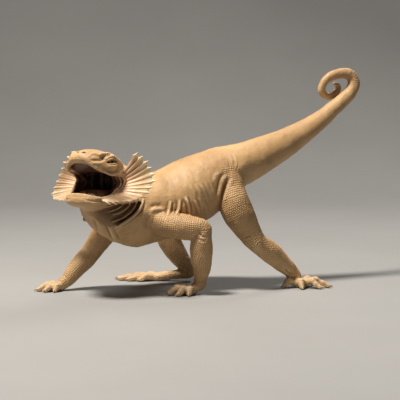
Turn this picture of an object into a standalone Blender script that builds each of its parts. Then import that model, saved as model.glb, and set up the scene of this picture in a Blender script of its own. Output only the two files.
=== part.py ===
"""Toad-headed agama, a life-size still model: gaping head turned to its left, fringed cheek flaps
spread, body raised on four legs, tail lifted and curled at the tip. It faces -X and its left is -Y."""

import math

import bmesh
import bpy
from mathutils import Matrix, Vector
from mathutils.bvhtree import BVHTree

MM = 0.001

# Sizes in millimetres
GAP = 0.3                     # clearance between parts that touch
SKIN_VOXEL = 0.6             # grain of the fused body before it is thinned out
BODY_FACES = 4800             # triangles left on the fused body
HEAD_ORIGIN = Vector((-54.7, -8.5, 58.0))     # midway between the corners of the mouth
HEAD_YAW = math.radians(36)   # how far the head turns to its left
JAW_HALF_WIDTH = 13.0         # middle of the head to a corner of the mouth
JAW_LENGTH = 19.0             # corner of the mouth to the tip of the snout
JAW_SQUARENESS = 2.7          # 2 is an ellipse, more is a blunter snout
EYE_PLACE = (6.2, 9.3, 6.9)   # forward, outward and up from the head's origin
EYE_RADIUS = 3.2
LID_RADIUS = 4.1
FLAP_TEETH = 15
FLAP_TOOTH_LENGTH = 2.6

FORWARD = Vector((-math.cos(HEAD_YAW), -math.sin(HEAD_YAW), 0))
LEFT = Vector((math.sin(HEAD_YAW), -math.cos(HEAD_YAW), 0))
UP = Vector((0, 0, 1))
SPINE_SIDE = Vector((0, 1, 0))

# Spine: x, y, z, half width, height above and depth below the line
TORSO = (
    (-43.2, 0, 37.3, 12.0, 16.2, 13.6),
    (-36.6, 0, 38.0, 15.0, 18.6, 16.2),
    (-29.1, 0, 40.0, 17.0, 18.0, 16.6),
    (-17.0, 0, 43.2, 18.2, 16.9, 16.8),
    (-6.4, 0, 48.0, 18.6, 16.8, 16.6),
    (3.8, 0, 53.0, 17.8, 15.4, 15.2),
    (13.0, 0, 58.1, 15.4, 13.0, 12.8),
    (19.6, 0, 61.0, 12.8, 10.7, 11.4),
    (25.1, 0, 62.5, 11.3, 10.0, 10.5),
    (32.9, 0, 65.4, 9.6, 9.4, 9.2),
)
TAIL = (
    (32.9, 0, 65.4, 9.6, 9.4, 9.2),
    (44.0, 0, 70.2, 7.9, 8.0, 7.7),
    (55.3, 0, 75.9, 6.2, 6.4, 6.0),
    (66.7, 0, 83.2, 4.8, 4.7, 4.7),
    (73.6, 0, 88.5, 4.1, 4.0, 4.0),
    (79.3, 0.2, 92.8, 3.6, 3.6, 3.6),
    (83.7, 0.5, 96.4, 3.3, 3.3, 3.3),
    (86.3, 0.9, 100.4, 3.2, 3.2, 3.2),
    (86.4, 1.3, 104.3, 3.0, 3.0, 3.0),
    (83.4, 1.8, 107.0, 2.8, 2.8, 2.8),
    (78.2, 2.3, 107.0, 2.6, 2.6, 2.6),
    (73.2, 2.9, 105.1, 2.4, 2.4, 2.4),
    (70.1, 3.5, 101.7, 2.10, 2.10, 2.10),
    (69.6, 4.2, 98.4, 1.94, 1.94, 1.94),
    (71.5, 4.9, 96.0, 1.84, 1.84, 1.84),
    (74.6, 5.5, 95.3, 1.74, 1.74, 1.74),
    (77.9, 5.8, 96.4, 1.59, 1.59, 1.59),
    (80.0, 5.9, 98.6, 1.34, 1.34, 1.34),
    (79.7, 5.9, 101.0, 1.05, 1.05, 1.05),
    (77.5, 5.9, 102.2, 0.70, 0.70, 0.70),
)

# Limbs: x, y, z, radius
FORELEG_LEFT = (
    (-26.6, -9.0, 35.9, 7.6),
    (-22.6, -17.0, 34.2, 6.6),
    (-15.0, -22.5, 33.0, 6.0),
    (-9.4, -25.0, 32.2, 4.8),
    (-9.3, -25.0, 27.8, 5.0),
    (-9.0, -23.8, 21.0, 5.5),
    (-7.9, -22.0, 13.0, 4.4),
    (-8.1, -20.5, 7.5, 3.2),
    (-8.3, -20.0, 4.6, 3.2),
)
FORELEG_RIGHT = (
    (-39.1, 8.0, 34.3, 7.4),
    (-45.1, 11.5, 29.9, 6.4),
    (-49.9, 14.5, 22.1, 5.2),
    (-52.5, 15.5, 18.0, 4.9),
    (-57.5, 15.5, 13.1, 4.8),
    (-61.6, 15.2, 8.9, 4.0),
    (-64.0, 15.0, 5.9, 3.5),
    (-67.5, 15.0, 3.4, 3.0),
)
HINDLEG_LEFT = (
    (9.9, -8.0, 55.9, 8.5),
    (10.9, -13.5, 47.8, 7.5),
    (14.0, -16.5, 37.9, 7.7),
    (20.0, -18.2, 27.4, 5.7),
    (23.6, -18.2, 23.3, 5.0),
    (30.9, -17.6, 18.3, 5.2),
    (37.9, -16.8, 12.2, 4.5),
    (42.3, -16.2, 8.6, 3.6),
    (45.0, -16.0, 5.2, 3.4),
)
HINDLEG_RIGHT = (
    (12.0, 8.0, 53.3, 8.4),
    (3.9, 18.0, 41.1, 7.4),
    (-5.6, 26.5, 29.8, 5.8),
    (-7.8, 27.6, 25.3, 5.4),
    (-4.9, 26.5, 18.6, 5.5),
    (-1.6, 24.2, 12.2, 4.8),
    (2.2, 22.4, 6.9, 3.6),
    (2.8, 21.8, 4.1, 3.2),
)

# Skull and jaw: distance forward, half width, top, side level, bottom
SKULL = (
    (-11.5, 7.0, 6.0, 1.5, -4.0),
    (-6.5, 10.2, 8.8, 2.2, -4.0),
    (-1.0, 12.3, 11.5, 2.8, 0.6),
    (4.0, 12.4, 12.8, 3.0, 0.6),
    (9.0, 11.9, 13.3, 3.8, 1.8),
    (12.5, 10.8, 13.2, 5.0, 3.4),
    (15.0, 9.0, 12.8, 6.6, 5.2),
    (16.9, 6.8, 12.0, 8.0, 7.0),
    (17.8, 5.0, 11.2, 8.8, 8.0),
)
JAW = (
    (-6.0, 10.8, -3.5, -7.0, -13.0),
    (0.0, 12.4, -4.6, -8.0, -14.6),
    (5.0, 12.4, -7.2, -9.6, -15.0),
    (9.5, 11.6, -8.8, -10.6, -14.8),
    (13.5, 9.9, -9.4, -10.8, -14.0),
    (16.2, 7.6, -8.8, -10.4, -13.0),
    (17.6, 5.4, -8.2, -9.8, -12.0),
)
MOUTH = (
    (-9.0, 5.0, 0.5, -2.5, -6.5),
    (-3.5, 8.6, 1.8, -2.0, -9.6),
    (4.0, 10.6, 1.9, -2.0, -12.2),
    (8.0, 10.3, 2.6, -2.0, -12.8),
    (11.0, 9.4, 4.6, -1.5, -12.8),
    (13.6, 8.0, 7.2, 0.0, -12.4),
    (15.4, 6.2, 8.6, 1.0, -11.6),
    (16.4, 4.6, 9.2, 1.5, -10.8),
)
THROAT = (
    (-58.0, -11.0, 51.0, 10.6, 9.1),
    (-53.1, -7.0, 45.6, 12.5, 11.6),
    (-45.7, -3.0, 40.4, 13.9, 13.6),
    (-34.1, 0, 39.6, 14.5, 14.5),
)
NAPE = (
    (-52.4, -6.5, 61.7, 10.1, 6.6),
    (-44.2, -2.5, 53.4, 11.1, 8.8),
    (-34.1, 0, 47.2, 13.0, 9.0),
    (-24.1, 0, 47.7, 14.0, 10.5),
)
TONGUE = (
    (-4.0, 5.0, -7.0, -8.8, -10.8),
    (2.0, 7.0, -6.4, -9.2, -12.2),
    (7.0, 7.2, -6.2, -9.2, -12.6),
    (11.0, 6.0, -6.8, -9.4, -12.4),
)

# Ridge over each eye and skin at each corner of the mouth: forward, outward, up, radius
BROW = (
    (-2.4, 10.6, 4.8, 1.0),
    (1.6, 10.7, 7.8, 1.4),
    (6.2, 9.5, 10.1, 1.6),
    (10.6, 7.4, 10.6, 1.4),
    (14.5, 4.4, 11.4, 0.9),
)
MOUTH_CORNER = (
    (-3.0, 11.3, 3.6, 2.0),
    (-4.4, 11.3, 0.4, 2.2),
    (-4.6, 11.3, -3.0, 2.2),
    (-3.0, 11.4, -6.8, 2.0),
)

# Lips: height of each lip above the head's origin at distances forward
UPPER_LIP = ((-3.0, 3.2), (0.0, 2.4), (3.0, 1.7), (6.0, 1.3), (9.0, 1.8), (12.0, 2.9), (14.0, 3.6),
             (16.0, 4.8), (17.0, 5.8), (18.0, 7.0), (19.0, 9.0))
LOWER_LIP = ((-3.0, -0.6), (0.0, -2.6), (3.0, -4.6), (6.0, -6.6), (9.0, -8.3), (12.0, -9.1), (14.0, -9.3),
             (16.0, -9.1), (18.0, -8.4), (19.0, -7.8))
LIP_RADIUS = 0.9

# Cheek flaps, from the corner of the mouth: outward, forward, up
FLAP_CORNER = (1.0, 12.6, -3.0)
FLAP_RIM_LEFT = (
    (6.4, -0.4, 14.0),
    (10.6, -0.6, 12.2),
    (13.8, -1.0, 8.8),
    (16.2, -1.2, 5.1),
    (16.6, -1.2, 1.2),
    (14.6, -1.0, -2.8),
    (10.8, -0.4, -6.2),
    (6.3, 0.5, -8.0),
    (2.8, 3.0, -8.3),
    (1.2, 6.2, -8.3),
    (0.2, 9.6, -8.1),
    (-1.6, 12.6, -7.6),
)
FLAP_RIM_RIGHT = (
    (2.0, -0.4, 14.2),
    (4.4, -0.3, 12.0),
    (7.4, -0.3, 9.0),
    (10.0, -0.3, 4.4),
    (12.4, 0.0, -0.8),
    (14.8, 0.3, -5.6),
    (14.8, 0.6, -8.9),
    (9.4, 1.2, -9.6),
    (5.0, 2.8, -9.2),
    (2.0, 5.6, -8.2),
    (0.9, 9.4, -7.4),
    (-1.6, 12.6, -7.6),
)
FLAP_ROOT = (
    (-0.6, -2.2, 5.6),
    (-0.9, -3.0, 4.4),
    (-1.0, -3.6, 3.2),
    (-1.0, -3.8, 2.0),
    (-1.0, -3.6, 0.6),
    (-0.8, -2.8, -0.8),
    (-0.8, -0.8, -2.2),
    (-0.8, 2.2, -3.6),
    (-0.8, 5.2, -4.8),
    (-1.1, 8.2, -5.8),
    (-1.8, 10.8, -6.2),
    (-2.9, 12.8, -6.3),
)

# Hands and feet: place and heading of the palm, where the knuckles start and how high they are,
# and the turn and length of each toe
HANDS = {
    "hand_left": dict(leg=FORELEG_LEFT, palm=(-12.4, -19.6), heading=177, radius=3.0,
                      lift=3.2,
                      toes=((62, 6.5), (32, 9.5), (6, 11.0), (-20, 10.0), (-54, 7.0))),
    "hand_right": dict(leg=FORELEG_RIGHT, palm=(-68.2, 15.8), heading=174, radius=3.0,
                       lift=2.8,
                       toes=((58, 6.5), (30, 9.0), (3, 10.4), (-22, 9.5), (-56, 7.0))),
    "foot_left": dict(leg=HINDLEG_LEFT, palm=(46.0, -18.5), heading=-38, radius=3.2,
                      lift=3.8,
                      toes=((-138, 7.5), (-66, 7.5), (-18, 11.5), (6, 14.2), (52, 8.0))),
    "foot_right": dict(leg=HINDLEG_RIGHT, palm=(-11.5, 29.4), heading=153, radius=3.2,
                       lift=2.6,
                       toes=((30, 9.5), (15, 14.5), (4, 19.0), (-5, 20.2), (-38, 9.0))),
}
TOE_RADIUS = 1.4
CLAW_LENGTH = 2.6

SKIN_COLOUR = (0.62, 0.44, 0.25)
FLAP_COLOUR = (0.66, 0.46, 0.29)
MOUTH_COLOUR = (0.42, 0.24, 0.17)
EYE_COLOUR = (0.16, 0.09, 0.04)


def curve_through(rows, count):
    """Points evenly spaced along a smooth curve through rows of numbers; the first three are a place."""
    rows = [tuple(row) for row in rows]
    padded = [rows[0]] + rows + [rows[-1]]
    fine = []
    for i in range(1, len(padded) - 2):
        a, b, c, d = padded[i - 1:i + 3]
        for step in range(12):
            t = step / 12
            fine.append(tuple(
                0.5 * (2 * q + (r - p) * t + (2 * p - 5 * q + 4 * r - s) * t * t
                       + (3 * q - p - 3 * r + s) * t ** 3)
                for p, q, r, s in zip(a, b, c, d)))
    fine.append(rows[-1])
    along = [0.0]
    for p, q in zip(fine, fine[1:]):
        along.append(along[-1] + math.dist(p[:3], q[:3]))
    samples = []
    j = 0
    for i in range(count):
        want = along[-1] * i / (count - 1)
        while j < len(fine) - 2 and along[j + 1] < want:
            j += 1
        share = (want - along[j]) / max(along[j + 1] - along[j], 1e-9)
        samples.append(tuple(p + (q - p) * share for p, q in zip(fine[j], fine[j + 1])))
    return samples


def head_point(forward, outward, up):
    return HEAD_ORIGIN + FORWARD * forward + LEFT * outward + UP * up


def height_at(profile, forward):
    for (f0, u0), (f1, u1) in zip(profile, profile[1:]):
        if forward <= f1:
            share = (forward - f0) / (f1 - f0)
            return u0 + (u1 - u0) * share * share * (3 - 2 * share)
    return profile[-1][1]


def new_object(name, mesh):
    thing = bpy.data.objects.new(name, mesh)
    bpy.context.scene.collection.objects.link(thing)
    return thing


def loft(name, stations, side, rings, sides=24, blunt=0.8, square=(2.0, 2.0), facing=None, flat_start=False):
    """A closed round-ended body through stations (x, y, z, half width, height above, depth below).
    square holds the squareness of its section above and below: 2 is an ellipse, more is boxier.
    Its rings are square to the line of stations, or to facing where that is given."""
    samples = curve_through(stations, rings)
    spots = [Vector(s[:3]) for s in samples]
    mesh = bmesh.new()
    loops = []

    def ring(spot, across, lift, wide, above, below):
        corners = []
        for k in range(sides):
            angle = 2 * math.pi * k / sides
            height, power = (above, square[0]) if math.sin(angle) > 0 else (below, square[1])
            cosine = math.copysign(abs(math.cos(angle)) ** (2 / power), math.cos(angle))
            sine = math.copysign(abs(math.sin(angle)) ** (2 / power), math.sin(angle))
            place = spot + across * (wide * cosine) + lift * (height * sine)
            corners.append(mesh.verts.new(place * MM))
        loops.append(corners)

    upright = 1 if side.cross(spots[1] - spots[0]).dot(UP) >= 0 else -1
    for i, spot in enumerate(spots):
        tangent = facing or (spots[min(i + 1, rings - 1)] - spots[max(i - 1, 0)]).normalized()
        across = (side - tangent * side.dot(tangent)).normalized()
        lift = across.cross(tangent) * upright
        wide, above, below = samples[i][3:6]
        reach = blunt * min(wide, above, below)
        domes = (65, 35) if i == 0 and not flat_start else ()
        for turn in domes:
            share = math.cos(math.radians(turn))
            shift = -tangent * (reach * math.sin(math.radians(turn)))
            ring(spot + shift, across, lift, wide * share, above * share, below * share)
        ring(spot, across, lift, wide, above, below)
        domes = (35, 65) if i == rings - 1 else ()
        for turn in domes:
            share = math.cos(math.radians(turn))
            shift = tangent * (reach * math.sin(math.radians(turn)))
            ring(spot + shift, across, lift, wide * share, above * share, below * share)
    for first, second in zip(loops, loops[1:]):
        for k in range(sides):
            after = (k + 1) % sides
            mesh.faces.new((first[k], first[after], second[after], second[k]))
    mesh.faces.new(loops[0][::-1])
    mesh.faces.new(loops[-1])
    bmesh.ops.recalc_face_normals(mesh, faces=mesh.faces)
    data = bpy.data.meshes.new(name)
    mesh.to_mesh(data)
    mesh.free()
    return new_object(name, data)


def limb_stations(rows):
    return tuple((x, y, z, r, r, r) for x, y, z, r in rows)


def flat_stations(rows):
    return tuple((x, y, z, w, h, h) for x, y, z, w, h in rows)


def head_stations(rows):
    return tuple((*head_point(f, 0, level), wide, top - level, level - bottom)
                 for f, wide, top, level, bottom in rows)


def head_loft(name, rows, rings, sides, **shape):
    return loft(name, head_stations(rows), LEFT, rings, sides, facing=FORWARD, **shape)


def ball(name, centre, radius, stretch=(1, 1, 1), turn=None, segments=20):
    mesh = bmesh.new()
    bmesh.ops.create_uvsphere(mesh, u_segments=segments, v_segments=segments // 2, radius=radius * MM)
    bmesh.ops.scale(mesh, vec=stretch, verts=mesh.verts)
    if turn is not None:
        bmesh.ops.transform(mesh, matrix=turn.to_4x4(), verts=mesh.verts)
    bmesh.ops.translate(mesh, vec=centre * MM, verts=mesh.verts)
    data = bpy.data.meshes.new(name)
    mesh.to_mesh(data)
    mesh.free()
    return new_object(name, data)


def slab(name, centre, normal, across, wide, tall, thick):
    """A thin box across a limb or the neck: the cut that parts two nodes."""
    normal = normal.normalized()
    across = (across - normal * across.dot(normal)).normalized()
    turn = Matrix((across, normal.cross(across), normal)).transposed()
    mesh = bmesh.new()
    bmesh.ops.create_cube(mesh, size=MM)
    bmesh.ops.scale(mesh, vec=(wide, tall, thick), verts=mesh.verts)
    bmesh.ops.transform(mesh, matrix=turn.to_4x4(), verts=mesh.verts)
    bmesh.ops.translate(mesh, vec=centre * MM, verts=mesh.verts)
    data = bpy.data.meshes.new(name)
    mesh.to_mesh(data)
    mesh.free()
    return new_object(name, data)


def evaluated(thing, name):
    """The mesh of thing with its modifiers, as a new plain object."""
    bpy.context.view_layer.update()
    graph = bpy.context.evaluated_depsgraph_get()
    data = bpy.data.meshes.new_from_object(thing.evaluated_get(graph))
    data.name = name
    return new_object(name, data)


def remove(things):
    for thing in things:
        bpy.data.objects.remove(thing, do_unlink=True)


def joined(name, things):
    mesh = bmesh.new()
    for thing in things:
        mesh.from_mesh(thing.data)
    data = bpy.data.meshes.new(name)
    mesh.to_mesh(data)
    mesh.free()
    remove(things)
    return new_object(name, data)


def combined(thing, others, operation, solver="MANIFOLD"):
    """thing with others joined to it or cut from it; the others are used up."""
    group = bpy.data.collections.new("operands")
    bpy.context.scene.collection.children.link(group)
    for other in others:
        group.objects.link(other)
    step = thing.modifiers.new("combine", "BOOLEAN")
    step.operation = operation
    step.operand_type = "COLLECTION"
    step.collection = group
    step.solver = solver
    result = evaluated(thing, thing.name + "_done")
    remove(others + [thing])
    bpy.data.collections.remove(group)
    return result


def islands(thing):
    """The separate closed surfaces of a mesh, each as a new bmesh, largest box first."""
    whole = bmesh.new()
    whole.from_mesh(thing.data)
    whole.verts.ensure_lookup_table()
    seen = set()
    found = []
    for start in whole.verts:
        if start.index in seen:
            continue
        seen.add(start.index)
        group = [start]
        for vert in group:
            for edge in vert.link_edges:
                other = edge.other_vert(vert)
                if other.index not in seen:
                    seen.add(other.index)
                    group.append(other)
        part = whole.copy()
        kept = {vert.index for vert in group}
        others = [vert for vert in part.verts if vert.index not in kept]
        bmesh.ops.delete(part, geom=others, context="VERTS")
        found.append(part)
    whole.free()
    found.sort(key=lambda part: -abs(part.calc_volume()))
    return found


def encloses(part, place):
    """Whether a place is inside a closed surface: a ray from it crosses the surface an odd number of times."""
    tree = BVHTree.FromBMesh(part)
    heading = Vector((0.31, 0.17, 0.93)).normalized()
    crossings = 0
    spot = tree.ray_cast(place, heading)[0]
    while spot is not None:
        crossings += 1
        spot = tree.ray_cast(spot + heading * 1e-6, heading)[0]
    return crossings % 2 == 1


def node_from(name, part):
    data = bpy.data.meshes.new(name)
    part.to_mesh(data)
    part.free()
    return new_object(name, data)


def keep_largest(thing, name):
    parts = islands(thing)
    remove([thing])
    for scrap in parts[1:]:
        scrap.free()
    return node_from(name, parts[0])


def lip_tube(name, profile):
    """A rounded rim round a jaw, from one corner of the mouth to the other."""
    rows = [(*head_point(-2.8, -12.2, profile[0][1]), LIP_RADIUS, LIP_RADIUS, LIP_RADIUS)]
    for step in range(25):
        turn = math.pi * (step / 24 - 0.5)
        forward = JAW_LENGTH * math.cos(turn) ** (2 / JAW_SQUARENESS)
        outward = math.copysign(
            JAW_HALF_WIDTH * abs(math.sin(turn)) ** (2 / JAW_SQUARENESS), math.sin(turn))
        inset = 1 - LIP_RADIUS / JAW_HALF_WIDTH
        place = head_point(forward * inset, outward * inset, height_at(profile, forward))
        rows.append((*place, LIP_RADIUS, LIP_RADIUS, LIP_RADIUS))
    rows.append((*head_point(-2.8, 12.2, profile[0][1]), LIP_RADIUS, LIP_RADIUS, LIP_RADIUS))
    return loft(name, rows, UP, 60, 10)


def eye_turn(side):
    """Axes of an eye: out of the head, along the slit of the lids, and across it."""
    outward = (LEFT * side * 0.9 + FORWARD * 0.35 + UP * 0.22).normalized()
    along = (FORWARD - outward * FORWARD.dot(outward)).normalized()
    return Matrix((outward, along, outward.cross(along))).transposed()


def eye_centre(side):
    return head_point(EYE_PLACE[0], side * EYE_PLACE[1], EYE_PLACE[2])


def body_lofts():
    """The overlapping forms that are fused into one body."""
    forms = [
        loft("torso_form", TORSO, SPINE_SIDE, 60, 36),
        loft("tail_form", TAIL, SPINE_SIDE, 150, 24),
        loft("foreleg_left_form", limb_stations(FORELEG_LEFT), SPINE_SIDE, 50),
        loft("foreleg_right_form", limb_stations(FORELEG_RIGHT), SPINE_SIDE, 50),
        loft("hindleg_left_form", limb_stations(HINDLEG_LEFT), SPINE_SIDE, 60),
        loft("hindleg_right_form", limb_stations(HINDLEG_RIGHT), SPINE_SIDE, 60),
        head_loft("skull_form", SKULL, 40, 32, square=(1.7, 2.6)),
        head_loft("jaw_form", JAW, 36, 32, square=(2.6, 2.2)),
        loft("throat_form", flat_stations(THROAT), LEFT, 30, 32),
        loft("nape_form", flat_stations(NAPE), LEFT, 30, 32),
        lip_tube("upper_lip_form", UPPER_LIP),
        lip_tube("lower_lip_form", LOWER_LIP),
    ]
    for side in (1, -1):
        forms.append(ball("lid_form", eye_centre(side), LID_RADIUS))
        for name, rows in (("brow_form", BROW), ("cheek_form", MOUTH_CORNER)):
            stations = [(*head_point(f, side * out, up), r, r, r) for f, out, up, r in rows]
            forms.append(loft(name, stations, UP if rows is BROW else FORWARD, 16, 12))
    return forms


def fused_body():
    """Body and head as one skin with the mouth open, before it is parted."""
    body = joined("body", body_lofts())
    voxel = body.modifiers.new("fuse", "REMESH")
    voxel.mode = "VOXEL"
    voxel.voxel_size = SKIN_VOXEL * MM
    fused = evaluated(body, "fused")
    remove([body])
    mouth = head_loft("mouth_form", MOUTH, 36, 32, blunt=0.2, square=(3.2, 3.0))
    fused = combined(fused, [mouth], "DIFFERENCE")
    again = fused.modifiers.new("even", "REMESH")
    again.mode = "VOXEL"
    again.voxel_size = SKIN_VOXEL * MM
    ease = fused.modifiers.new("ease", "SMOOTH")
    ease.factor = 0.5
    ease.iterations = 3
    eased = evaluated(fused, "eased")
    remove([fused])
    return eased


def clearance_copy(body):
    """The body grown by the gap, to cut away what would touch it."""
    grown = new_object("grown", body.data.copy())
    swell = grown.modifiers.new("swell", "DISPLACE")
    swell.strength = (GAP + 0.15) * MM
    swell.mid_level = 0
    clean = grown.modifiers.new("clean", "REMESH")
    clean.mode = "VOXEL"
    clean.voxel_size = 0.5 * MM
    thin = grown.modifiers.new("thin", "DECIMATE")
    thin.ratio = 0.06
    result = evaluated(grown, "clearance")
    remove([grown])
    return result


def cheek_flap(name, side, rim_rows, clearance):
    """A pleated, toothed fan of skin round a corner of the mouth."""
    columns = FLAP_TEETH * 3
    rim = curve_through(rim_rows, columns + 1)
    root = curve_through(FLAP_ROOT, columns + 1)
    steps = (0.0, 0.22, 0.5, 0.8, 1.0)
    mesh = bmesh.new()
    grid = []
    for i in range(columns + 1):
        tooth = (0.0, 1.0, 0.55)[i % 3] * FLAP_TOOTH_LENGTH
        if i in (0, columns):
            tooth = 0.3 * FLAP_TOOTH_LENGTH
        a = Vector(root[i][:3])
        b = Vector(rim[i][:3])
        reach = (b - a).normalized()
        column = []
        for k, share in enumerate(steps):
            place = a.lerp(b, share) if k < len(steps) - 1 else b + reach * tooth
            pleat = 0.32 * math.sin(i * 2 * math.pi / 6) * math.sin(math.pi * min(share, 0.9))
            cup = -1.1 * math.sin(math.pi * share)
            forward = FLAP_CORNER[0] + place.y + pleat + cup * (1 if place.y < 3 else 0.2)
            spot = head_point(forward, side * (FLAP_CORNER[1] + place.x), FLAP_CORNER[2] + place.z)
            column.append(mesh.verts.new(spot * MM))
        grid.append(column)
    for first, second in zip(grid, grid[1:]):
        for k in range(len(steps) - 1):
            mesh.faces.new((first[k], first[k + 1], second[k + 1], second[k]))
    bmesh.ops.triangulate(mesh, faces=mesh.faces)
    data = bpy.data.meshes.new(name)
    mesh.to_mesh(data)
    mesh.free()
    sheet = new_object(name + "_sheet", data)
    thick = sheet.modifiers.new("thickness", "SOLIDIFY")
    thick.thickness = 0.75 * MM
    thick.offset = 0
    solid = evaluated(sheet, name + "_solid")
    remove([sheet])
    cutter = new_object("flap_clearance", clearance.data.copy())
    return keep_largest(combined(solid, [cutter], "DIFFERENCE"), name)


def tongue(clearance):
    form = head_loft("tongue_form", TONGUE, 14, 20, blunt=0.6, square=(2.6, 2.2))
    cutter = new_object("tongue_clearance", clearance.data.copy())
    return keep_largest(combined(form, [cutter], "DIFFERENCE"), "tongue")


def station(rows, place):
    """The place at a fractional station number."""
    before = max(min(int(place), len(rows) - 2), 0)
    return Vector(rows[before][:3]).lerp(Vector(rows[before + 1][:3]), place - before)


def limb_cut(rows, place, wide=17.0):
    """A thin slab across a limb at a station number, square to the limb or along the crease of a bend."""
    along = station(rows, place + 0.75) - station(rows, place - 0.75)
    return slab("limb_cut", station(rows, place), along, SPINE_SIDE, wide, wide, GAP)


def wrist_block(rows, beyond):
    """A block that fills the leg's own side of the wrist, or the side beyond it."""
    here = Vector(rows[-2][:3])
    along = (Vector(rows[-1][:3]) - Vector(rows[-3][:3])).normalized()
    deep = 9.0
    shift = (deep - GAP) / 2 if beyond else (GAP - deep) / 2
    return slab("wrist_block", here + along * shift, along, SPINE_SIDE, 12.0, 12.0, deep)


def toe(name, base, knuckle, tip, along):
    """A toe that arches from the palm to the ground, and its claw."""
    side = along.cross(UP)
    rows = (
        (*base, 1.5, 1.5, 1.7),
        (*knuckle, TOE_RADIUS, 1.3, 1.6),
        (*knuckle.lerp(tip, 0.6), 1.2, 1.1, 1.3),
        (*tip, 1.05, 1.0, 1.2),
    )
    claw = (
        (*(tip + along * 0.2 + UP * 0.2), 0.7, 0.7, 0.7),
        (*(tip + along * CLAW_LENGTH * 0.55 + UP * 0.25), 0.5, 0.55, 0.55),
        (*(tip + along * CLAW_LENGTH - UP * 0.65), 0.16, 0.2, 0.2),
    )
    return [loft(name + "_toe", rows, side, 5, 6, flat_start=True),
            loft(name + "_claw", claw, side, 3, 4, 0.5, flat_start=True)]


def hand(name, leg, palm, heading, radius, lift, toes):
    """A hand or foot: pad, five toes with claws, and the stub that meets the leg."""
    stub = loft(name + "_stub", limb_stations(leg[-3:]), SPINE_SIDE, 4, 12)
    turn = math.radians(heading)
    ahead = Vector((math.cos(turn), math.sin(turn), 0))
    pad_centre = Vector((*palm, 0))
    ankle = Vector(leg[-1][:3])
    pad = (
        (*(ankle + UP * 0.1), 3.0, 2.7, 2.6),
        (*ankle.lerp(pad_centre + UP * 2.6, 0.5), 3.1, 2.2, 2.4),
        (*(pad_centre + UP * 2.2), 3.3, 1.9, 2.5),
        (*(pad_centre + ahead * 2.6 + UP * 1.8), 2.7, 1.5, 2.1),
    )
    pieces = [loft(name + "_pad", pad, ahead.cross(UP), 6, 10)]
    for bend, length in toes:
        angle = turn + math.radians(bend)
        along = Vector((math.cos(angle), math.sin(angle), 0))
        base = pad_centre + along * 1.1 + UP * 2.0
        knuckle = pad_centre + along * (radius + length * 0.36) + UP * lift
        tip = pad_centre + along * (radius + length - CLAW_LENGTH) + UP * 1.0
        pieces += toe(name, base, knuckle, tip, along)
    whole = combined(stub, pieces, "UNION")
    ground = slab("ground", pad_centre - UP * 5.0, UP, SPINE_SIDE, 90.0, 90.0, 10.0)
    return keep_largest(combined(whole, [wrist_block(leg, False), ground], "DIFFERENCE"), name)


def eye(name, side):
    return ball(name, eye_centre(side), EYE_RADIUS, segments=16)


def socket_cutters():
    """Eye cavities, the openings between the lids, and the nostrils."""
    cutters = []
    for side in (1, -1):
        centre = eye_centre(side)
        turn = eye_turn(side)
        cutters.append(ball("socket", centre, EYE_RADIUS + GAP))
        outward = turn.col[0]
        cutters.append(ball("lid_opening", centre + outward * 3.4, 1.0, (2.6, 2.3, 1.5), turn, 16))
        nostril = head_point(16.2, side * 1.5, 12.6)
        cutters.append(ball("nostril", nostril, 1.0, (1.2, 0.75, 1.3), eye_turn(side), 10))
    return cutters


def parting_cuts():
    """Thin slabs that part the fused body into its named nodes."""
    cuts = [
        slab("head_cut", head_point(-9.5, 0, -6.0), FORWARD * 0.86 + UP * 0.5, LEFT, 44.0, 56.0, GAP),
        slab("jaw_cut", head_point(-4.6, 0, -3.0), UP + FORWARD * 0.12, LEFT, 36.0, 16.4, GAP),
        slab("neck_cut", Vector((-40.0, -1.0, 48.0)), Vector((-0.8, -0.2, 0.55)), SPINE_SIDE,
             36.0, 46.0, GAP),
        limb_cut(TORSO, 8, 30.0),
        limb_cut(TAIL, 2, 20.0),
        limb_cut(TAIL, 5, 12.0),
        limb_cut(TAIL, 9, 9.0),
    ]
    for rows, root, bend in ((FORELEG_LEFT, 1.9, 3), (FORELEG_RIGHT, 1.3, 3),
                             (HINDLEG_LEFT, 1.6, 4), (HINDLEG_RIGHT, 1.5, 3)):
        cuts.append(limb_cut(rows, root, 24.0))
        cuts.append(limb_cut(rows, bend, 24.0))
        cuts.append(wrist_block(rows, True))
    return cuts


NODE_PLACES = {
    "head": head_point(2, 0, 11),
    "lower_jaw": head_point(10, 0, -14.0),
    "neck": Vector((-47.0, -3.5, 47.0)),
    "torso": Vector((-4.0, 0, 52.0)),
    "tail_base": station(TAIL, 1),
    "tail_middle": station(TAIL, 4),
    "tail_end": station(TAIL, 7),
    "tail_curl": station(TAIL, 12),
    "upper_arm_left": station(FORELEG_LEFT, 2.5),
    "forearm_left": station(FORELEG_LEFT, 5),
    "upper_arm_right": station(FORELEG_RIGHT, 2),
    "forearm_right": station(FORELEG_RIGHT, 4.5),
    "thigh_left": station(HINDLEG_LEFT, 2.5),
    "shank_left": station(HINDLEG_LEFT, 5.5),
    "thigh_right": station(HINDLEG_RIGHT, 2.2),
    "shank_right": station(HINDLEG_RIGHT, 4.5),
}


def part_body(body):
    """Cuts the fused body and names each piece by the place that it holds."""
    thin = body.modifiers.new("thin", "DECIMATE")
    count = sum(len(face.vertices) - 2 for face in body.data.polygons)
    thin.ratio = BODY_FACES / count
    coarse = evaluated(body, "coarse")
    remove([body])
    cut = combined(coarse, parting_cuts() + socket_cutters(), "DIFFERENCE")
    parts = islands(cut)
    remove([cut])
    nodes = {}
    for name, place in NODE_PLACES.items():
        found = next((part for part in parts if encloses(part, place * MM)), None)
        if found is None:
            raise ValueError("no piece holds the place of " + name)
        parts.remove(found)
        nodes[name] = node_from(name, found)
    for scrap in parts:
        scrap.free()
    return nodes


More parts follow.
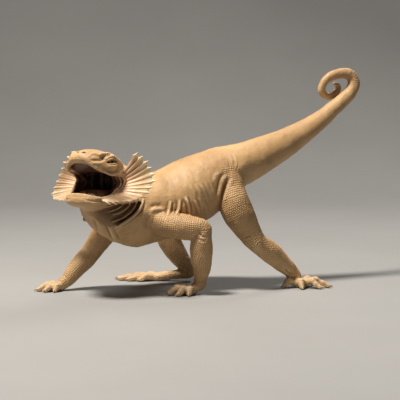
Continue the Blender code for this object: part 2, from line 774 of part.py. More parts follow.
def material(name, colour, roughness):
    made = bpy.data.materials.new(name)
    made.use_nodes = True
    shader = made.node_tree.nodes["Principled BSDF"]
    shader.inputs["Base Color"].default_value = (*colour, 1)
    shader.inputs["Roughness"].default_value = roughness
    shader.inputs["Metallic"].default_value = 0
    return made


def centre_on_ground(things):
    """Moves everything so that the origin is under the middle of the model."""
    corners = [vert.co for thing in things for vert in thing.data.vertices]
    low = [min(corner[i] for corner in corners) for i in range(3)]
    high = [max(corner[i] for corner in corners) for i in range(3)]
    shift = Vector((-(low[0] + high[0]) / 2, -(low[1] + high[1]) / 2, -low[2]))
    for thing in things:
        thing.data.transform(Matrix.Translation(shift))


def main():
    for thing in list(bpy.data.objects):
        bpy.data.objects.remove(thing, do_unlink=True)
    body = fused_body()
    clearance = clearance_copy(body)
    nodes = {
        "cheek_flap_left": cheek_flap("cheek_flap_left", 1, FLAP_RIM_LEFT, clearance),
        "cheek_flap_right": cheek_flap("cheek_flap_right", -1, FLAP_RIM_RIGHT, clearance),
        "tongue": tongue(clearance),
        "eye_left": eye("eye_left", 1),
        "eye_right": eye("eye_right", -1),
    }
    remove([clearance])
    nodes.update(part_body(body))
    for name, sizes in HANDS.items():
        nodes[name] = hand(name, **sizes)
    centre_on_ground(nodes.values())
    skin = material("skin", SKIN_COLOUR, 0.65)
    special = {
        "cheek_flap_left": material("flap", FLAP_COLOUR, 0.6),
        "tongue": material("mouth_lining", MOUTH_COLOUR, 0.4),
        "eye_left": material("eye", EYE_COLOUR, 0.1),
    }
    special["cheek_flap_right"] = special["cheek_flap_left"]
    special["eye_right"] = special["eye_left"]
    collection = bpy.data.collections.new("toad_headed_agama")
    bpy.context.scene.collection.children.link(collection)
    for name, thing in nodes.items():
        thing.name = name
        thing.data.name = name
        thing.data.materials.clear()
        thing.data.materials.append(special.get(name, skin))
        thing.data.shade_smooth()
        bpy.context.scene.collection.objects.unlink(thing)
        collection.objects.link(thing)


if __name__ == "__main__":
    main()
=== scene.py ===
"""Looks of the toad-headed agama: one fine skin over the whole body with its scales, folds and lips,
the fringed cheek flaps, eyes with their lids, the mouth's inside, the claws and the combs of the toes."""

import math
import random

import bmesh
import bpy
import numpy as np
from mathutils import Matrix, Vector, noise
from mathutils.bvhtree import BVHTree
from mathutils.kdtree import KDTree


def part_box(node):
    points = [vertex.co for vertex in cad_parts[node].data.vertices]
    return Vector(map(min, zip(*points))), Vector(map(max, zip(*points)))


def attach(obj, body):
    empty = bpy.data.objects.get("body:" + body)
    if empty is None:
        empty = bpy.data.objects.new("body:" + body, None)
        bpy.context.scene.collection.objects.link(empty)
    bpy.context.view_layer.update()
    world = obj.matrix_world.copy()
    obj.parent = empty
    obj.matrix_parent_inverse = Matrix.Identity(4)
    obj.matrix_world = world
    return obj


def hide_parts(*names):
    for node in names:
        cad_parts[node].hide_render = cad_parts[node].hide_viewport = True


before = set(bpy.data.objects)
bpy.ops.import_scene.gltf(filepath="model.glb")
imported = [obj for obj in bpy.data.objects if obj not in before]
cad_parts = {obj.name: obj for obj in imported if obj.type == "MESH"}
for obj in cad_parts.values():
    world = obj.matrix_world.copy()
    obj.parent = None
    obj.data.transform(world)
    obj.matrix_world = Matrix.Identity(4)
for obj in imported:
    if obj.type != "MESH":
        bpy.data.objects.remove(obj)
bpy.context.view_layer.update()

MM = 0.001

# Sizes in millimetres
SKIN_VOXEL = 0.45             # grain of the fused skin before it is subdivided
HEAD_ORIGIN = Vector((-54.7, -8.5, 58.0))     # midway between the corners of the mouth
HEAD_YAW = math.radians(36)   # how far the head turns to its left
JAW_HALF_WIDTH = 13.0         # middle of the head to a corner of the mouth
JAW_LENGTH = 19.0             # corner of the mouth to the tip of the snout
JAW_SQUARENESS = 2.7          # 2 is an ellipse, more is a blunter snout
EYE_PLACE = (6.2, 9.3, 6.9)   # forward, outward and up from the head's origin
EYE_RADIUS = 3.2
LID_RADIUS = 4.1
EYE_OPENING = (2.6, 2.9, 1.9)     # radii of what is cut from the lids: outward, along the slit and across it
EYE_OPENING_OUT = 3.4         # middle of the eye to the middle of that
FLAP_TEETH = 15
CLAW_LENGTH = 2.2             # part of a toe's length beyond its flesh
NOSTRIL_PLACE = (16.1, 1.9, 12.5)
NOSTRIL_SIZE = (2.2, 1.3, 0.7)    # radii inward, along the slit and across it
NOSTRIL_DARK = (2.2, 1.0, 0.62)   # the same of its inside, which is painted with shade
LIP_END = (-2.8, 12.2)        # forward and outward, behind a corner of the mouth
SKULL_SQUARENESS = (1.7, 2.6)     # of its section above and below
JAWBONE_SQUARENESS = (2.6, 2.7)
MOUTH_SHAPE = dict(blunt=0.2, square=(3.2, 3.0))

# Rims of the lids, and the folds of skin outside them: half width, height, lift, thickness, and how
# far from the middle of the eye, in millimetres
LID_RIMS = ((2.9, 1.35, 0.0, 0.6, 3.5), (2.9, -1.25, 0.0, 0.48, 3.45))
LID_FOLDS = ((3.5, 2.3, 0.1, 0.75, 3.9), (3.4, -2.2, 0.1, 0.65, 3.9))

FORWARD = Vector((-math.cos(HEAD_YAW), -math.sin(HEAD_YAW), 0))
LEFT = Vector((math.sin(HEAD_YAW), -math.cos(HEAD_YAW), 0))
UP = Vector((0, 0, 1))
SPINE_SIDE = Vector((0, 1, 0))

# Combs along the toes: spacing and radius of their points, and where they start as a share of the half
# width of a toe
COMB_SPACING = 0.62
COMB_RADIUS = 0.26
COMB_START = 0.84
COMB_LENGTHS = (0.8, 1.2)     # least and most as shares of the usual length

# Tongue: depth and half width of its groove, then height of its wrinkles and radians of their wave to
# a millimetre
TONGUE_GROOVE = (0.7, 0.9)
TONGUE_WRINKLES = (0.16, 3.1)

# Kinds of scales
TRUNK, LIMB, HAND, HEAD, TAIL_END = range(5)
SCALE_DRAWS = 4               # starts of the random draws for the scales' places and tones
TONE_DRAWS = 7

# Scales along the lips and brows: size and height of each row
UPPER_LIP_SCALES = ((1.05, 0.24), (0.9, 0.14))
LOWER_LIP_SCALES = ((0.95, 0.1), (0.85, 0.08))
BROW_SCALES = (1.15, 0.16)
LIP_ROW = 52                  # length of a row round a lip

# Places of the scales
SEED_REACH = 1.3              # how far from the skin the centre of a scale may lie
ROW_SPACING = 0.72            # least distance between centres as a share of a scale's size
GAP_SPACING = 0.84            # the same where the gaps between the forms are filled
SPREAD_CELL = 1.4             # more than the largest of those distances

# Rings of the tail: the thin end lies past these x and z, then their height, the share of the tail where
# they start and over which they come in, and their spacing at its root and how much less at its tip
RINGED_X, RINGED_Z = 62, 74
RING_HEIGHT = 0.06
RING_START = 0.25
RING_FADE = 0.2
RING_SPACING = (2.1, 0.9)

# Cheek flaps: columns of the sheet to a tooth, rows from root to tip, and the share of the way out at
# which the spikes start
TOOTH_COLUMNS = 12
FLAP_ROWS = 36
WEB_END = 0.74
SPIKE_SWEEP = Vector((0, -0.25, 0))
SPIKE_WIDTH = 0.62            # share of a tooth's width
RIDGE_WIDTH = 0.21
NOTCH_DEPTH = 0.35            # of the web between two teeth
FLAT_START = 0.45             # share of the way down where the pleats start to fade
FLAT_FADE = 0.2
# Start of the random draws, longest spike and depth of the pleats of the left and the right flap
FLAP_LOOKS = {1: (11, 2.5, 1.0), -1: (12, 1.7, 0.4)}
# Thickness of half the sheet: its web and how much thinner that is at the rim, its root above and how
# much thinner that is below, the share of the way out that the root takes, a spike's edge and its ridge
FLAP_HALF_THICKNESS = dict(web=0.36, thinner=0.12, root=1.1, lower=0.9, taper=0.16, edge=0.05, ridge=0.42)

# Camera: the photo's angle, in degrees and millimetres
VIEW_TURN = math.radians(-22)
VIEW_RISE = math.radians(5)
VIEW_DISTANCE = 700.0
VIEW_TARGET = Vector((0, 0, 44.0))
VIEW_LENS = 126.0
SENSOR_WIDTH = 36
PICTURE = 400                 # pixels across the picture that the places of folds are read from
FOCAL_PIXELS = VIEW_LENS / SENSOR_WIDTH * PICTURE


def stations(*rows):
    """Rows of x, y, z, half width, height above and depth below, with missing sizes like the last one."""
    return tuple(row + row[-1:] * (6 - len(row)) for row in rows)


# Spine: x, y, z, half width, height above and depth below the line
TORSO = stations(
    (-43.2, 0, 37.3, 12.0, 16.2, 13.6),
    (-36.6, 0, 38.0, 15.0, 18.6, 16.2),
    (-29.1, 0, 40.0, 17.0, 18.0, 16.6),
    (-17.0, 0, 43.2, 18.2, 16.9, 16.8),
    (-6.4, 0, 48.0, 18.6, 16.8, 16.6),
    (3.8, 0, 53.0, 17.8, 15.4, 15.2),
    (13.0, 0, 58.1, 15.4, 13.0, 12.8),
    (19.6, 0, 61.0, 12.8, 10.7, 11.4),
    (25.1, 0, 62.5, 11.3, 10.0, 10.5),
    (32.9, 0, 65.4, 9.6, 9.4, 9.2),
)
TAIL = stations(
    (32.9, 0, 65.4, 9.6, 9.4, 9.2),
    (44.0, 0, 70.2, 7.9, 8.0, 7.7),
    (55.3, 0, 75.9, 6.2, 6.4, 6.0),
    (66.7, 0, 83.2, 4.8, 4.7),
    (73.6, 0, 88.5, 4.1, 4.0),
    (79.3, 0.2, 92.8, 3.6),
    (83.7, 0.5, 96.4, 3.3),
    (86.3, 0.9, 100.4, 3.2),
    (86.4, 1.3, 104.3, 3.0),
    (83.4, 1.8, 107.0, 2.8),
    (78.2, 2.3, 107.0, 2.6),
    (73.2, 2.9, 105.1, 2.4),
    (70.1, 3.5, 101.7, 2.1),
    (69.6, 4.2, 98.4, 1.94),
    (71.5, 4.9, 96.0, 1.84),
    (74.6, 5.5, 95.3, 1.84),
    (77.9, 5.8, 96.4, 1.78),
    (80.0, 5.9, 98.6, 1.62),
    (79.7, 5.9, 101.0, 1.38),
    (77.7, 5.9, 102.0, 0.95),
)

# Limbs: x, y, z, radius
FORELEG_LEFT = stations(
    (-26.6, -9.0, 35.9, 7.6),
    (-22.6, -17.0, 34.2, 6.6),
    (-15.0, -22.5, 33.0, 6.0),
    (-9.4, -25.0, 32.2, 4.8),
    (-9.3, -25.0, 27.8, 5.0),
    (-9.0, -23.8, 21.0, 5.5),
    (-7.9, -22.0, 13.0, 4.4),
    (-8.1, -20.5, 7.5, 3.2),
    (-8.3, -20.0, 4.6, 3.2),
)
FORELEG_RIGHT = stations(
    (-39.1, 8.0, 34.3, 7.4),
    (-45.1, 11.5, 29.9, 6.4),
    (-49.9, 14.5, 22.1, 5.2),
    (-52.5, 15.5, 18.0, 4.9),
    (-57.5, 15.5, 13.1, 4.8),
    (-61.6, 15.2, 8.9, 4.0),
    (-64.0, 15.0, 5.9, 3.5),
    (-67.5, 15.0, 3.4, 3.0),
)
HINDLEG_LEFT = stations(
    (9.9, -8.0, 55.9, 8.5),
    (10.9, -13.5, 47.8, 7.5),
    (14.0, -16.5, 37.9, 7.7),
    (20.0, -18.2, 27.4, 5.7),
    (23.6, -18.2, 23.3, 5.0),
    (30.9, -17.6, 18.3, 5.2),
    (37.9, -16.8, 12.2, 4.5),
    (42.3, -16.2, 8.6, 3.6),
    (45.0, -16.0, 5.2, 3.4),
)
HINDLEG_RIGHT = stations(
    (12.0, 8.0, 53.3, 8.4),
    (3.9, 18.0, 41.1, 7.4),
    (-5.6, 26.5, 29.8, 5.8),
    (-7.8, 27.6, 25.3, 5.4),
    (-4.9, 26.5, 18.6, 5.5),
    (-1.6, 24.2, 12.2, 4.8),
    (2.2, 22.4, 6.9, 3.6),
    (2.8, 21.8, 4.1, 3.2),
)

# Skull, jaw and hollow of the mouth: distance forward, half width, top, side level, bottom
SKULL = (
    (-11.5, 7.0, 6.0, 1.5, -4.0),
    (-6.5, 10.2, 8.8, 2.2, -4.0),
    (-1.0, 12.3, 11.5, 2.8, 0.6),
    (4.0, 12.4, 12.8, 3.0, 0.6),
    (9.0, 11.9, 13.3, 3.8, 1.8),
    (12.5, 10.8, 13.2, 5.0, 3.4),
    (15.0, 9.0, 12.8, 6.6, 5.2),
    (16.9, 6.8, 12.0, 8.0, 7.0),
    (17.8, 5.0, 11.2, 8.8, 8.0),
)
JAW = (
    (-6.0, 10.8, -3.5, -7.0, -13.0),
    (0.0, 12.4, -4.6, -8.0, -14.6),
    (5.0, 12.4, -7.2, -9.6, -15.0),
    (9.5, 11.6, -8.8, -10.6, -14.8),
    (13.5, 10.2, -9.4, -10.8, -14.2),
    (16.2, 8.6, -8.8, -10.6, -13.6),
    (17.7, 6.8, -8.2, -10.2, -13.0),
)
MOUTH = (
    (-9.0, 5.0, 0.5, -2.5, -6.5),
    (-3.5, 8.6, 1.8, -2.0, -9.6),
    (4.0, 10.6, 1.9, -2.0, -12.2),
    (8.0, 10.3, 2.6, -2.0, -12.8),
    (11.0, 9.4, 4.6, -1.5, -12.8),
    (13.6, 8.0, 7.2, 0.0, -12.4),
    (15.2, 6.0, 8.1, 1.0, -11.6),
    (16.0, 4.2, 8.4, 1.5, -10.8),
)
# Underside and upper side of the neck: x, y, z, half width and height
THROAT = stations(
    (-58.0, -11.0, 51.0, 10.6, 9.1),
    (-53.1, -7.0, 45.6, 12.5, 11.6),
    (-45.7, -3.0, 40.4, 13.9, 13.6),
    (-34.1, 0, 39.6, 14.5, 14.5),
)
NAPE = stations(
    (-52.4, -6.5, 61.7, 10.1, 6.6),
    (-44.2, -2.5, 53.4, 11.1, 8.8),
    (-34.1, 0, 47.2, 13.0, 9.0),
    (-24.1, 0, 47.7, 14.0, 10.5),
)
# Tongue, in rows like the skull's
TONGUE = (
    (-4.0, 5.0, -7.0, -8.8, -10.8),
    (2.0, 7.0, -6.4, -9.2, -12.2),
    (7.0, 7.2, -6.2, -9.2, -12.6),
    (11.0, 6.0, -6.8, -9.4, -12.4),
)

# Ridge over each eye and skin at each corner of the mouth: forward, outward, up, radius
BROW = (
    (-2.4, 10.6, 4.8, 1.0),
    (1.6, 10.7, 7.8, 1.4),
    (6.2, 9.5, 10.1, 1.6),
    (10.6, 7.4, 10.6, 1.4),
    (14.5, 4.4, 11.4, 0.9),
)
MOUTH_CORNER = (
    (-3.0, 11.3, 3.6, 2.0),
    (-4.4, 11.3, 0.4, 2.2),
    (-4.6, 11.3, -3.0, 2.2),
    (-3.0, 11.4, -6.8, 2.0),
)

# Lips: height of each lip above the head's origin at distances forward
UPPER_LIP = ((-3.0, 3.2), (0.0, 2.4), (3.0, 1.7), (6.0, 1.3), (9.0, 1.8), (12.0, 2.9), (14.0, 3.6),
             (16.0, 4.8), (17.0, 5.8), (18.0, 7.0), (19.0, 9.0))
LOWER_LIP = ((-3.0, -0.6), (0.0, -2.6), (3.0, -4.6), (6.0, -6.6), (9.0, -8.3), (12.0, -9.1), (14.0, -9.3),
             (16.0, -9.1), (18.0, -8.4), (19.0, -7.8))
LIP_RADIUS = 0.9

# Cheek flaps: their corner as forward, outward and up from the head's origin, and from there the rims
# and the root as outward, forward and up
FLAP_CORNER = (1.0, 12.6, -3.0)
FLAP_RIM_LEFT = (
    (6.4, -0.4, 14.0),
    (10.6, -0.6, 12.2),
    (13.8, -1.0, 8.8),
    (16.2, -1.2, 5.1),
    (16.6, -1.2, 1.2),
    (14.6, -1.0, -2.8),
    (10.8, -0.4, -6.2),
    (6.3, 0.5, -8.0),
    (2.8, 3.0, -8.3),
    (1.2, 6.2, -8.3),
    (0.2, 9.6, -8.1),
    (-1.6, 12.6, -7.6),
)
FLAP_RIM_RIGHT = (
    (2.0, -0.4, 14.2),
    (4.4, -0.3, 12.0),
    (7.4, -0.3, 9.0),
    (10.0, -0.3, 4.4),
    (12.4, 0.0, -0.8),
    (14.8, 0.3, -5.6),
    (14.8, 0.6, -8.9),
    (9.4, 1.2, -9.6),
    (5.0, 2.8, -9.2),
    (2.0, 5.6, -8.2),
    (0.9, 9.4, -7.4),
    (-1.6, 12.6, -7.6),
)
FLAP_ROOT = (
    (-0.6, -2.2, 5.6),
    (-0.9, -3.0, 4.4),
    (-1.0, -3.6, 3.2),
    (-1.0, -3.8, 2.0),
    (-1.0, -3.6, 0.6),
    (-0.8, -2.8, -0.8),
    (-0.8, -0.8, -2.2),
    (-0.8, 2.2, -3.6),
    (-0.8, 5.2, -4.8),
    (-1.1, 8.2, -5.8),
    (-1.8, 10.8, -6.2),
    (-2.9, 12.8, -6.3),
)

# Hands and feet: place and heading of the palm, where the knuckles start and how high they are,
# and the turn and length of each toe
HANDS = {
    "hand_left": dict(leg=FORELEG_LEFT, palm=(-12.4, -19.6), heading=177, radius=3.0, lift=3.2,
                      toes=((62, 6.5), (32, 9.5), (6, 11.0), (-20, 10.0), (-54, 7.0))),
    "hand_right": dict(leg=FORELEG_RIGHT, palm=(-68.2, 15.8), heading=174, radius=3.0, lift=2.8,
                       toes=((58, 6.5), (30, 9.0), (3, 10.4), (-22, 9.5), (-56, 7.0))),
    "foot_left": dict(leg=HINDLEG_LEFT, palm=(46.0, -18.5), heading=-38, radius=3.2, lift=3.8,
                      toes=((-138, 7.5), (-66, 7.5), (-18, 11.5), (6, 14.2), (52, 8.0))),
    "foot_right": dict(leg=HINDLEG_RIGHT, palm=(-11.5, 29.4), heading=153, radius=3.2, lift=2.6,
                       toes=((30, 9.5), (15, 14.5), (4, 19.0), (-5, 20.2), (-38, 9.0))),
}
FLESH = ("head", "lower_jaw", "neck", "torso", "tail_base", "tail_middle", "tail_end", "tail_curl")
FLESH += tuple(f"{part}_{side}" for limb in (("upper_arm", "forearm", "hand"), ("thigh", "shank", "foot"))
               for side in ("left", "right") for part in limb)

# Folds of the skin's inside at the back of the mouth, the webs that close its corners, and those at
# the far corner alone: forward, outward, up, radius
THROAT_FOLDS = (
    ((-5.0, -7.8, 1.6, 1.6), (-3.2, -7.4, -1.6, 1.15), (-2.8, -7.2, -5.0, 1.1), (-3.6, -7.2, -9.0, 1.6)),
    ((-6.0, -2.6, 1.8, 1.8), (-4.2, -2.2, -1.8, 1.3), (-3.8, -2.0, -5.2, 1.2), (-4.6, -2.0, -8.8, 1.6)),
    ((-6.0, 4.4, 1.6, 1.6), (-5.0, 4.6, -1.8, 1.2), (-4.8, 4.6, -5.0, 1.2), (-5.6, 4.4, -8.2, 1.6)),
)
CORNER_WEBS = (
    ((3.0, 11.6, 2.2, 1.0), (-0.6, 11.7, 0.4, 1.7), (-1.4, 11.7, -2.4, 1.8), (2.0, 11.8, -5.2, 1.3)),
    ((3.6, 10.4, 1.6, 0.6), (-0.2, 9.8, -0.8, 1.2), (-0.8, 9.6, -3.6, 1.2), (3.4, 10.0, -6.8, 0.8)),
    ((4.6, 9.4, 1.2, 0.5), (1.2, 8.4, -1.6, 0.7), (0.8, 8.2, -4.4, 0.7), (5.2, 9.0, -8.2, 0.6)),
)
FAR_WEBS = (
    ((6.4, 10.8, 0.6, 0.7), (3.0, 11.4, -1.4, 1.1), (2.6, 11.5, -4.0, 1.2), (5.0, 11.4, -7.4, 1.0)),
    ((10.0, 10.8, -8.4, 0.8), (6.4, 11.2, -6.6, 1.1), (4.0, 11.4, -4.6, 1.2), (2.0, 11.4, -2.0, 1.0)),
)

# Outline of the hollow pouch of the throat in pixels of the picture, which is also painted with shade, and
# its depth in millimetres
POUCH = ((82, 210.5), (92, 210.6), (101, 209), (107, 205), (114, 203), (124, 203), (133, 202), (140, 200.6),
         (142.2, 203.6), (139.5, 209.5), (133, 216), (124.5, 222), (114, 227.5), (105, 228), (99, 222.5),
         (93, 217.5), (86, 215))
POUCH_DEPTH = 3.4
POUCH_STARTS = (82, 98)       # first column of pixels with the pouch in it, and with its mirror image
POUCH_ROW = 216               # row of pixels below which it gets deep further back
POUCH_EDGE = 2.6              # pixels over which its edges fade
POUCH_SHADE = 16              # columns over which its painted shade comes in
POUCH_FADE = (15, 22, 16)     # columns before it gets deep, and columns and rows over which it does

# Outline of the creased skin round the corner of the mouth, which is painted with shade, and the pixels over
# which its edges fade
CORNER_EDGE = 3.0
CORNER = ((105, 171.5), (112, 175), (120, 176), (125.4, 173), (126.6, 179), (124.5, 186), (118.5, 191),
          (110, 195.2), (101, 197.4), (98, 195.8), (108, 191.5), (114, 185), (114, 178))

# Broad hollows in the skin: pixel of the picture at the middle, radius and depth in millimetres,
# with a depth below zero for a bulge
HOLLOWS = (
    ((158, 205), 4.0, 0.4),
    ((221, 186), 4.0, 0.8),
    ((257, 247), 3.2, -0.9),
    ((205, 243), 3.0, -0.5),
    ((236, 203), 6.5, -0.8),
    ((249, 231), 4.0, 0.5),
    ((268, 260), 4.5, -0.6),
    ((176, 226), 6.0, -0.5),
    ((200, 262), 5.0, -0.4),
    ((156, 216), 4.0, -0.5),
)

# Folds on the skin, each a line through pixels of the picture, its half width and its height in
# millimetres, below zero for a groove, and the half that it is repeated on
FOLDS = (
    # Brow, snout and lips
    (((90, 158.6), (96, 155.6), (102, 153.6), (108, 153.4), (113, 155.6), (117.5, 160), (120, 165)),
     0.9, 0.4, "head"),
    (((90, 160), (96, 160.4), (101, 160), (104.4, 158.4)), 0.7, -0.5, "head"),
    (((104, 169.6), (110, 171.6), (116, 170.6), (119.4, 166.8)), 0.7, -0.3, "head"),
    (((87, 157), (92, 154), (98, 151.6)), 0.8, 0.35, "head"),
    (((116, 174.0), (120, 172.6), (124, 170.4)), 0.5, 0.35, "head"),
    (((83, 199.2), (88, 200.4), (95, 201.4), (103, 201.4)), 0.5, -0.22, "head"),
    (((116.5, 176.5), (119.4, 181), (117.6, 186.5), (111.5, 191.5)), 0.45, -0.55, "head"),
    (((119.6, 176.5), (122.4, 181.5), (120.4, 187), (114, 192)), 0.45, -0.55, "head"),
    (((118, 176.5), (121, 181.5), (119, 187), (112.5, 192)), 0.4, 0.35, "head"),
    # Throat and neck
    (((143.8, 197), (142.6, 204), (138.4, 211.5), (131, 218.5), (123, 224), (113, 229.5)), 0.5, 0.9, "head"),
    (((137, 199), (134.6, 206), (129, 212.5), (120, 218.5), (111, 222)), 0.55, 1.3, "head"),
    (((130.6, 201), (127.6, 206.5), (121, 211.5), (112, 215)), 0.55, 1.1, "head"),
    (((123.6, 203), (119.5, 207), (113, 210), (106, 211.6)), 0.5, 0.9, "head"),
    (((140, 200), (137.4, 207.5), (131.4, 214.5), (122, 221)), 0.7, -0.8, "head"),
    (((109, 226), (112.5, 233), (117, 241)), 0.8, 0.8, ""),
    (((104, 224), (107.5, 231), (111, 239)), 0.8, -0.7, ""),
    (((97, 220), (101, 228), (104, 236)), 0.7, 0.5, ""),
    (((93, 218), (95.5, 226), (98, 234)), 0.8, -0.5, ""),
    (((150.5, 213), (154, 209.8), (160, 209), (165, 210.4)), 0.9, 0.4, ""),
    (((149, 207), (155, 205.6), (161, 205.6)), 0.9, -0.2, ""),
    (((148, 215), (146, 222), (147, 230)), 1.2, -0.5, ""),
    # Ribs
    (((170.8, 201), (169.8, 208), (167.2, 216)), 0.65, 0.75, "body"),
    (((179.6, 200), (179.2, 208), (175.8, 216.5)), 0.65, 0.85, "body"),
    (((185.4, 197), (188.8, 206), (189.6, 216)), 0.65, 0.9, "body"),
    (((194.5, 200), (198.0, 208), (199.4, 215)), 0.7, 0.6, "body"),
    (((203, 201), (206, 208), (206.6, 214)), 0.7, 0.35, "body"),
    (((190, 186), (194, 193), (196, 199)), 0.6, 0.2, "body"),
    (((195, 184), (199.5, 192), (202, 199)), 0.6, 0.22, "body"),
    (((200, 183), (204.5, 191), (207.6, 199)), 0.6, 0.22, "body"),
    (((205, 182), (209.5, 191), (213, 200)), 0.6, 0.2, "body"),
    # Groin, hip and root of the tail
    (((231, 176.5), (227.0, 181.5), (224.2, 189), (221.4, 199), (220.4, 206)), 0.9, -0.7, ""),
    (((228.6, 175.0), (224.0, 179.5), (221.0, 188), (219.0, 197)), 0.9, 0.3, ""),
    (((225, 172.5), (221, 176.5), (217.6, 185), (216.5, 196)), 0.7, -0.35, ""),
    (((220, 172.5), (215.5, 176), (213.0, 184)), 0.7, 0.2, ""),
    (((212.4, 176), (214.5, 186), (218.5, 197)), 0.8, -0.2, ""),
    (((232.5, 152), (236.2, 159), (236.8, 165), (234.6, 170)), 0.35, 0.14, "body"),
    (((230.4, 153), (234.0, 160), (234.4, 166)), 0.35, -0.14, "body"),
    (((228.2, 154), (231.6, 161), (232.0, 167)), 0.35, 0.12, "body"),
    (((225.8, 156), (228.8, 162), (229.2, 167)), 0.35, -0.1, "body"),
    # Elbow, knee and ankle
    (((199, 233), (203, 236.4), (206, 237)), 0.5, -0.3, ""),
    (((197, 238.5), (201, 240), (205, 241)), 0.45, -0.22, ""),
    (((244, 239), (248, 236.6), (252, 236.6)), 0.5, -0.22, ""),
    (((285, 268), (288, 272.5), (293, 274)), 0.5, -0.4, ""),
)


def curve_through(rows, count):
    """Points evenly spaced along a smooth curve through rows of numbers; the first three are a place."""
    rows = [tuple(row) for row in rows]
    padded = [rows[0]] + rows + [rows[-1]]
    fine = []
    steps = 12
    for i in range(1, len(padded) - 2):
        a, b, c, d = padded[i - 1:i + 3]
        for step in range(steps):
            t = step / steps
            fine.append(tuple(
                0.5 * (2 * q + (r - p) * t + (2 * p - 5 * q + 4 * r - s) * t * t
                       + (3 * q - p - 3 * r + s) * t ** 3)
                for p, q, r, s in zip(a, b, c, d)))
    fine.append(rows[-1])
    along = [0.0]
    for p, q in zip(fine, fine[1:]):
        along.append(along[-1] + math.dist(p[:3], q[:3]))
    samples = []
    j = 0
    for i in range(count):
        want = along[-1] * i / (count - 1)
        while j < len(fine) - 2 and along[j + 1] < want:
            j += 1
        share = (want - along[j]) / max(along[j + 1] - along[j], 1e-9)
        samples.append(tuple(p + (q - p) * share for p, q in zip(fine[j], fine[j + 1])))
    return samples


def head_point(forward, outward, up):
    return HEAD_ORIGIN + FORWARD * forward + LEFT * outward + UP * up


def eased(share):
    """A share from 0 to 1 that starts and ends gently."""
    return share * share * (3 - 2 * share)


def height_at(profile, forward):
    for (f0, u0), (f1, u1) in zip(profile, profile[1:]):
        if forward <= f1:
            return u0 + (u1 - u0) * eased((forward - f0) / (f1 - f0))
    return profile[-1][1]


def new_object(name, mesh):
    thing = bpy.data.objects.new(name, mesh)
    bpy.context.scene.collection.objects.link(thing)
    return thing


def object_from(name, mesh, turned=False):
    """A new object from mesh, with its faces turned outwards first where turned says so."""
    if turned:
        bmesh.ops.recalc_face_normals(mesh, faces=mesh.faces)
    data = bpy.data.meshes.new(name)
    mesh.to_mesh(data)
    mesh.free()
    return new_object(name, data)


def line_through(rows, side, count):
    """Samples along stations, their places, and the sign that turns a section's height upwards."""
    samples = curve_through(rows, count)
    spots = [Vector(s[:3]) for s in samples]
    upright = 1 if side.cross(spots[1] - spots[0]).dot(UP) >= 0 else -1
    return samples, spots, upright


def section(spots, i, side, upright, facing):
    """Axes of the ring at sample i: along the form, across it and upwards."""
    tangent = facing or (spots[min(i + 1, len(spots) - 1)] - spots[max(i - 1, 0)]).normalized()
    across = (side - tangent * side.dot(tangent)).normalized()
    return tangent, across, across.cross(tangent) * upright


def rim_place(spot, across, lift, sizes, square, angle):
    """The place at an angle round a ring."""
    wide, above, below = sizes
    height, power = (above, square[0]) if math.sin(angle) > 0 else (below, square[1])
    cosine = math.copysign(abs(math.cos(angle)) ** (2 / power), math.cos(angle))
    sine = math.copysign(abs(math.sin(angle)) ** (2 / power), math.sin(angle))
    return spot + across * (wide * cosine) + lift * (height * sine)


def join_rings(mesh, rings):
    """Faces between each ring of corners and the next."""
    for first, second in zip(rings, rings[1:]):
        for k in range(len(first)):
            after = (k + 1) % len(first)
            mesh.faces.new((first[k], first[after], second[after], second[k]))


def loft(name, rows, side, rings, sides=24, blunt=0.8, square=(2.0, 2.0), facing=None):
    """A closed round-ended body through stations.
    square holds the squareness of its section above and below: 2 is an ellipse, more is boxier.
    Its rings are square to the line of stations, or to facing where that is given."""
    samples, spots, upright = line_through(rows, side, rings)
    angles = [2 * math.pi * k / sides for k in range(sides)]
    domes = {0: (-65, -35, 0), rings - 1: (0, 35, 65)}     # degrees round the dome at each end
    mesh = bmesh.new()
    loops = []
    for i, spot in enumerate(spots):
        tangent, across, lift = section(spots, i, side, upright, facing)
        reach = blunt * min(samples[i][3:6])
        for turn in domes.get(i, (0,)):
            centre = spot + tangent * (reach * math.sin(math.radians(turn)))
            sizes = [size * math.cos(math.radians(turn)) for size in samples[i][3:6]]
            loops.append([mesh.verts.new(rim_place(centre, across, lift, sizes, square, angle) * MM)
                          for angle in angles])
    join_rings(mesh, loops)
    mesh.faces.new(loops[0][::-1])
    mesh.faces.new(loops[-1])
    return object_from(name, mesh, turned=True)


def head_stations(rows):
    return tuple((*head_point(f, 0, level), wide, top - level, level - bottom)
                 for f, wide, top, level, bottom in rows)


def head_loft(name, rows, rings, sides, **shape):
    return loft(name, head_stations(rows), LEFT, rings, sides, facing=FORWARD, **shape)


def head_rows(rows, half):
    """Stations through rows of forward, outward, up and radius; half is -1 on the head's right."""
    return stations(*((*head_point(f, half * out, up), r) for f, out, up, r in rows))


def head_tube(name, rows, side, rings, sides=12, half=1):
    return loft(name, head_rows(rows, half), side, rings, sides)


def ball(name, centre, radius, stretch=(1, 1, 1), turn=None, segments=20):
    mesh = bmesh.new()
    bmesh.ops.create_uvsphere(mesh, u_segments=segments, v_segments=segments // 2, radius=radius * MM)
    bmesh.ops.scale(mesh, vec=stretch, verts=mesh.verts)
    if turn is not None:
        bmesh.ops.transform(mesh, matrix=turn.to_4x4(), verts=mesh.verts)
    bmesh.ops.translate(mesh, vec=centre * MM, verts=mesh.verts)
    return object_from(name, mesh)


def evaluated(thing, name):
    """A new plain object with the mesh of thing after its modifiers; thing itself is removed."""
    bpy.context.view_layer.update()
    graph = bpy.context.evaluated_depsgraph_get()
    data = bpy.data.meshes.new_from_object(thing.evaluated_get(graph))
    data.name = name
    result = new_object(name, data)
    remove([thing])
    return result


def remove(things):
    for thing in things:
        bpy.data.objects.remove(thing, do_unlink=True)


def joined(name, things):
    mesh = bmesh.new()
    for thing in things:
        mesh.from_mesh(thing.data)
    remove(things)
    return object_from(name, mesh)


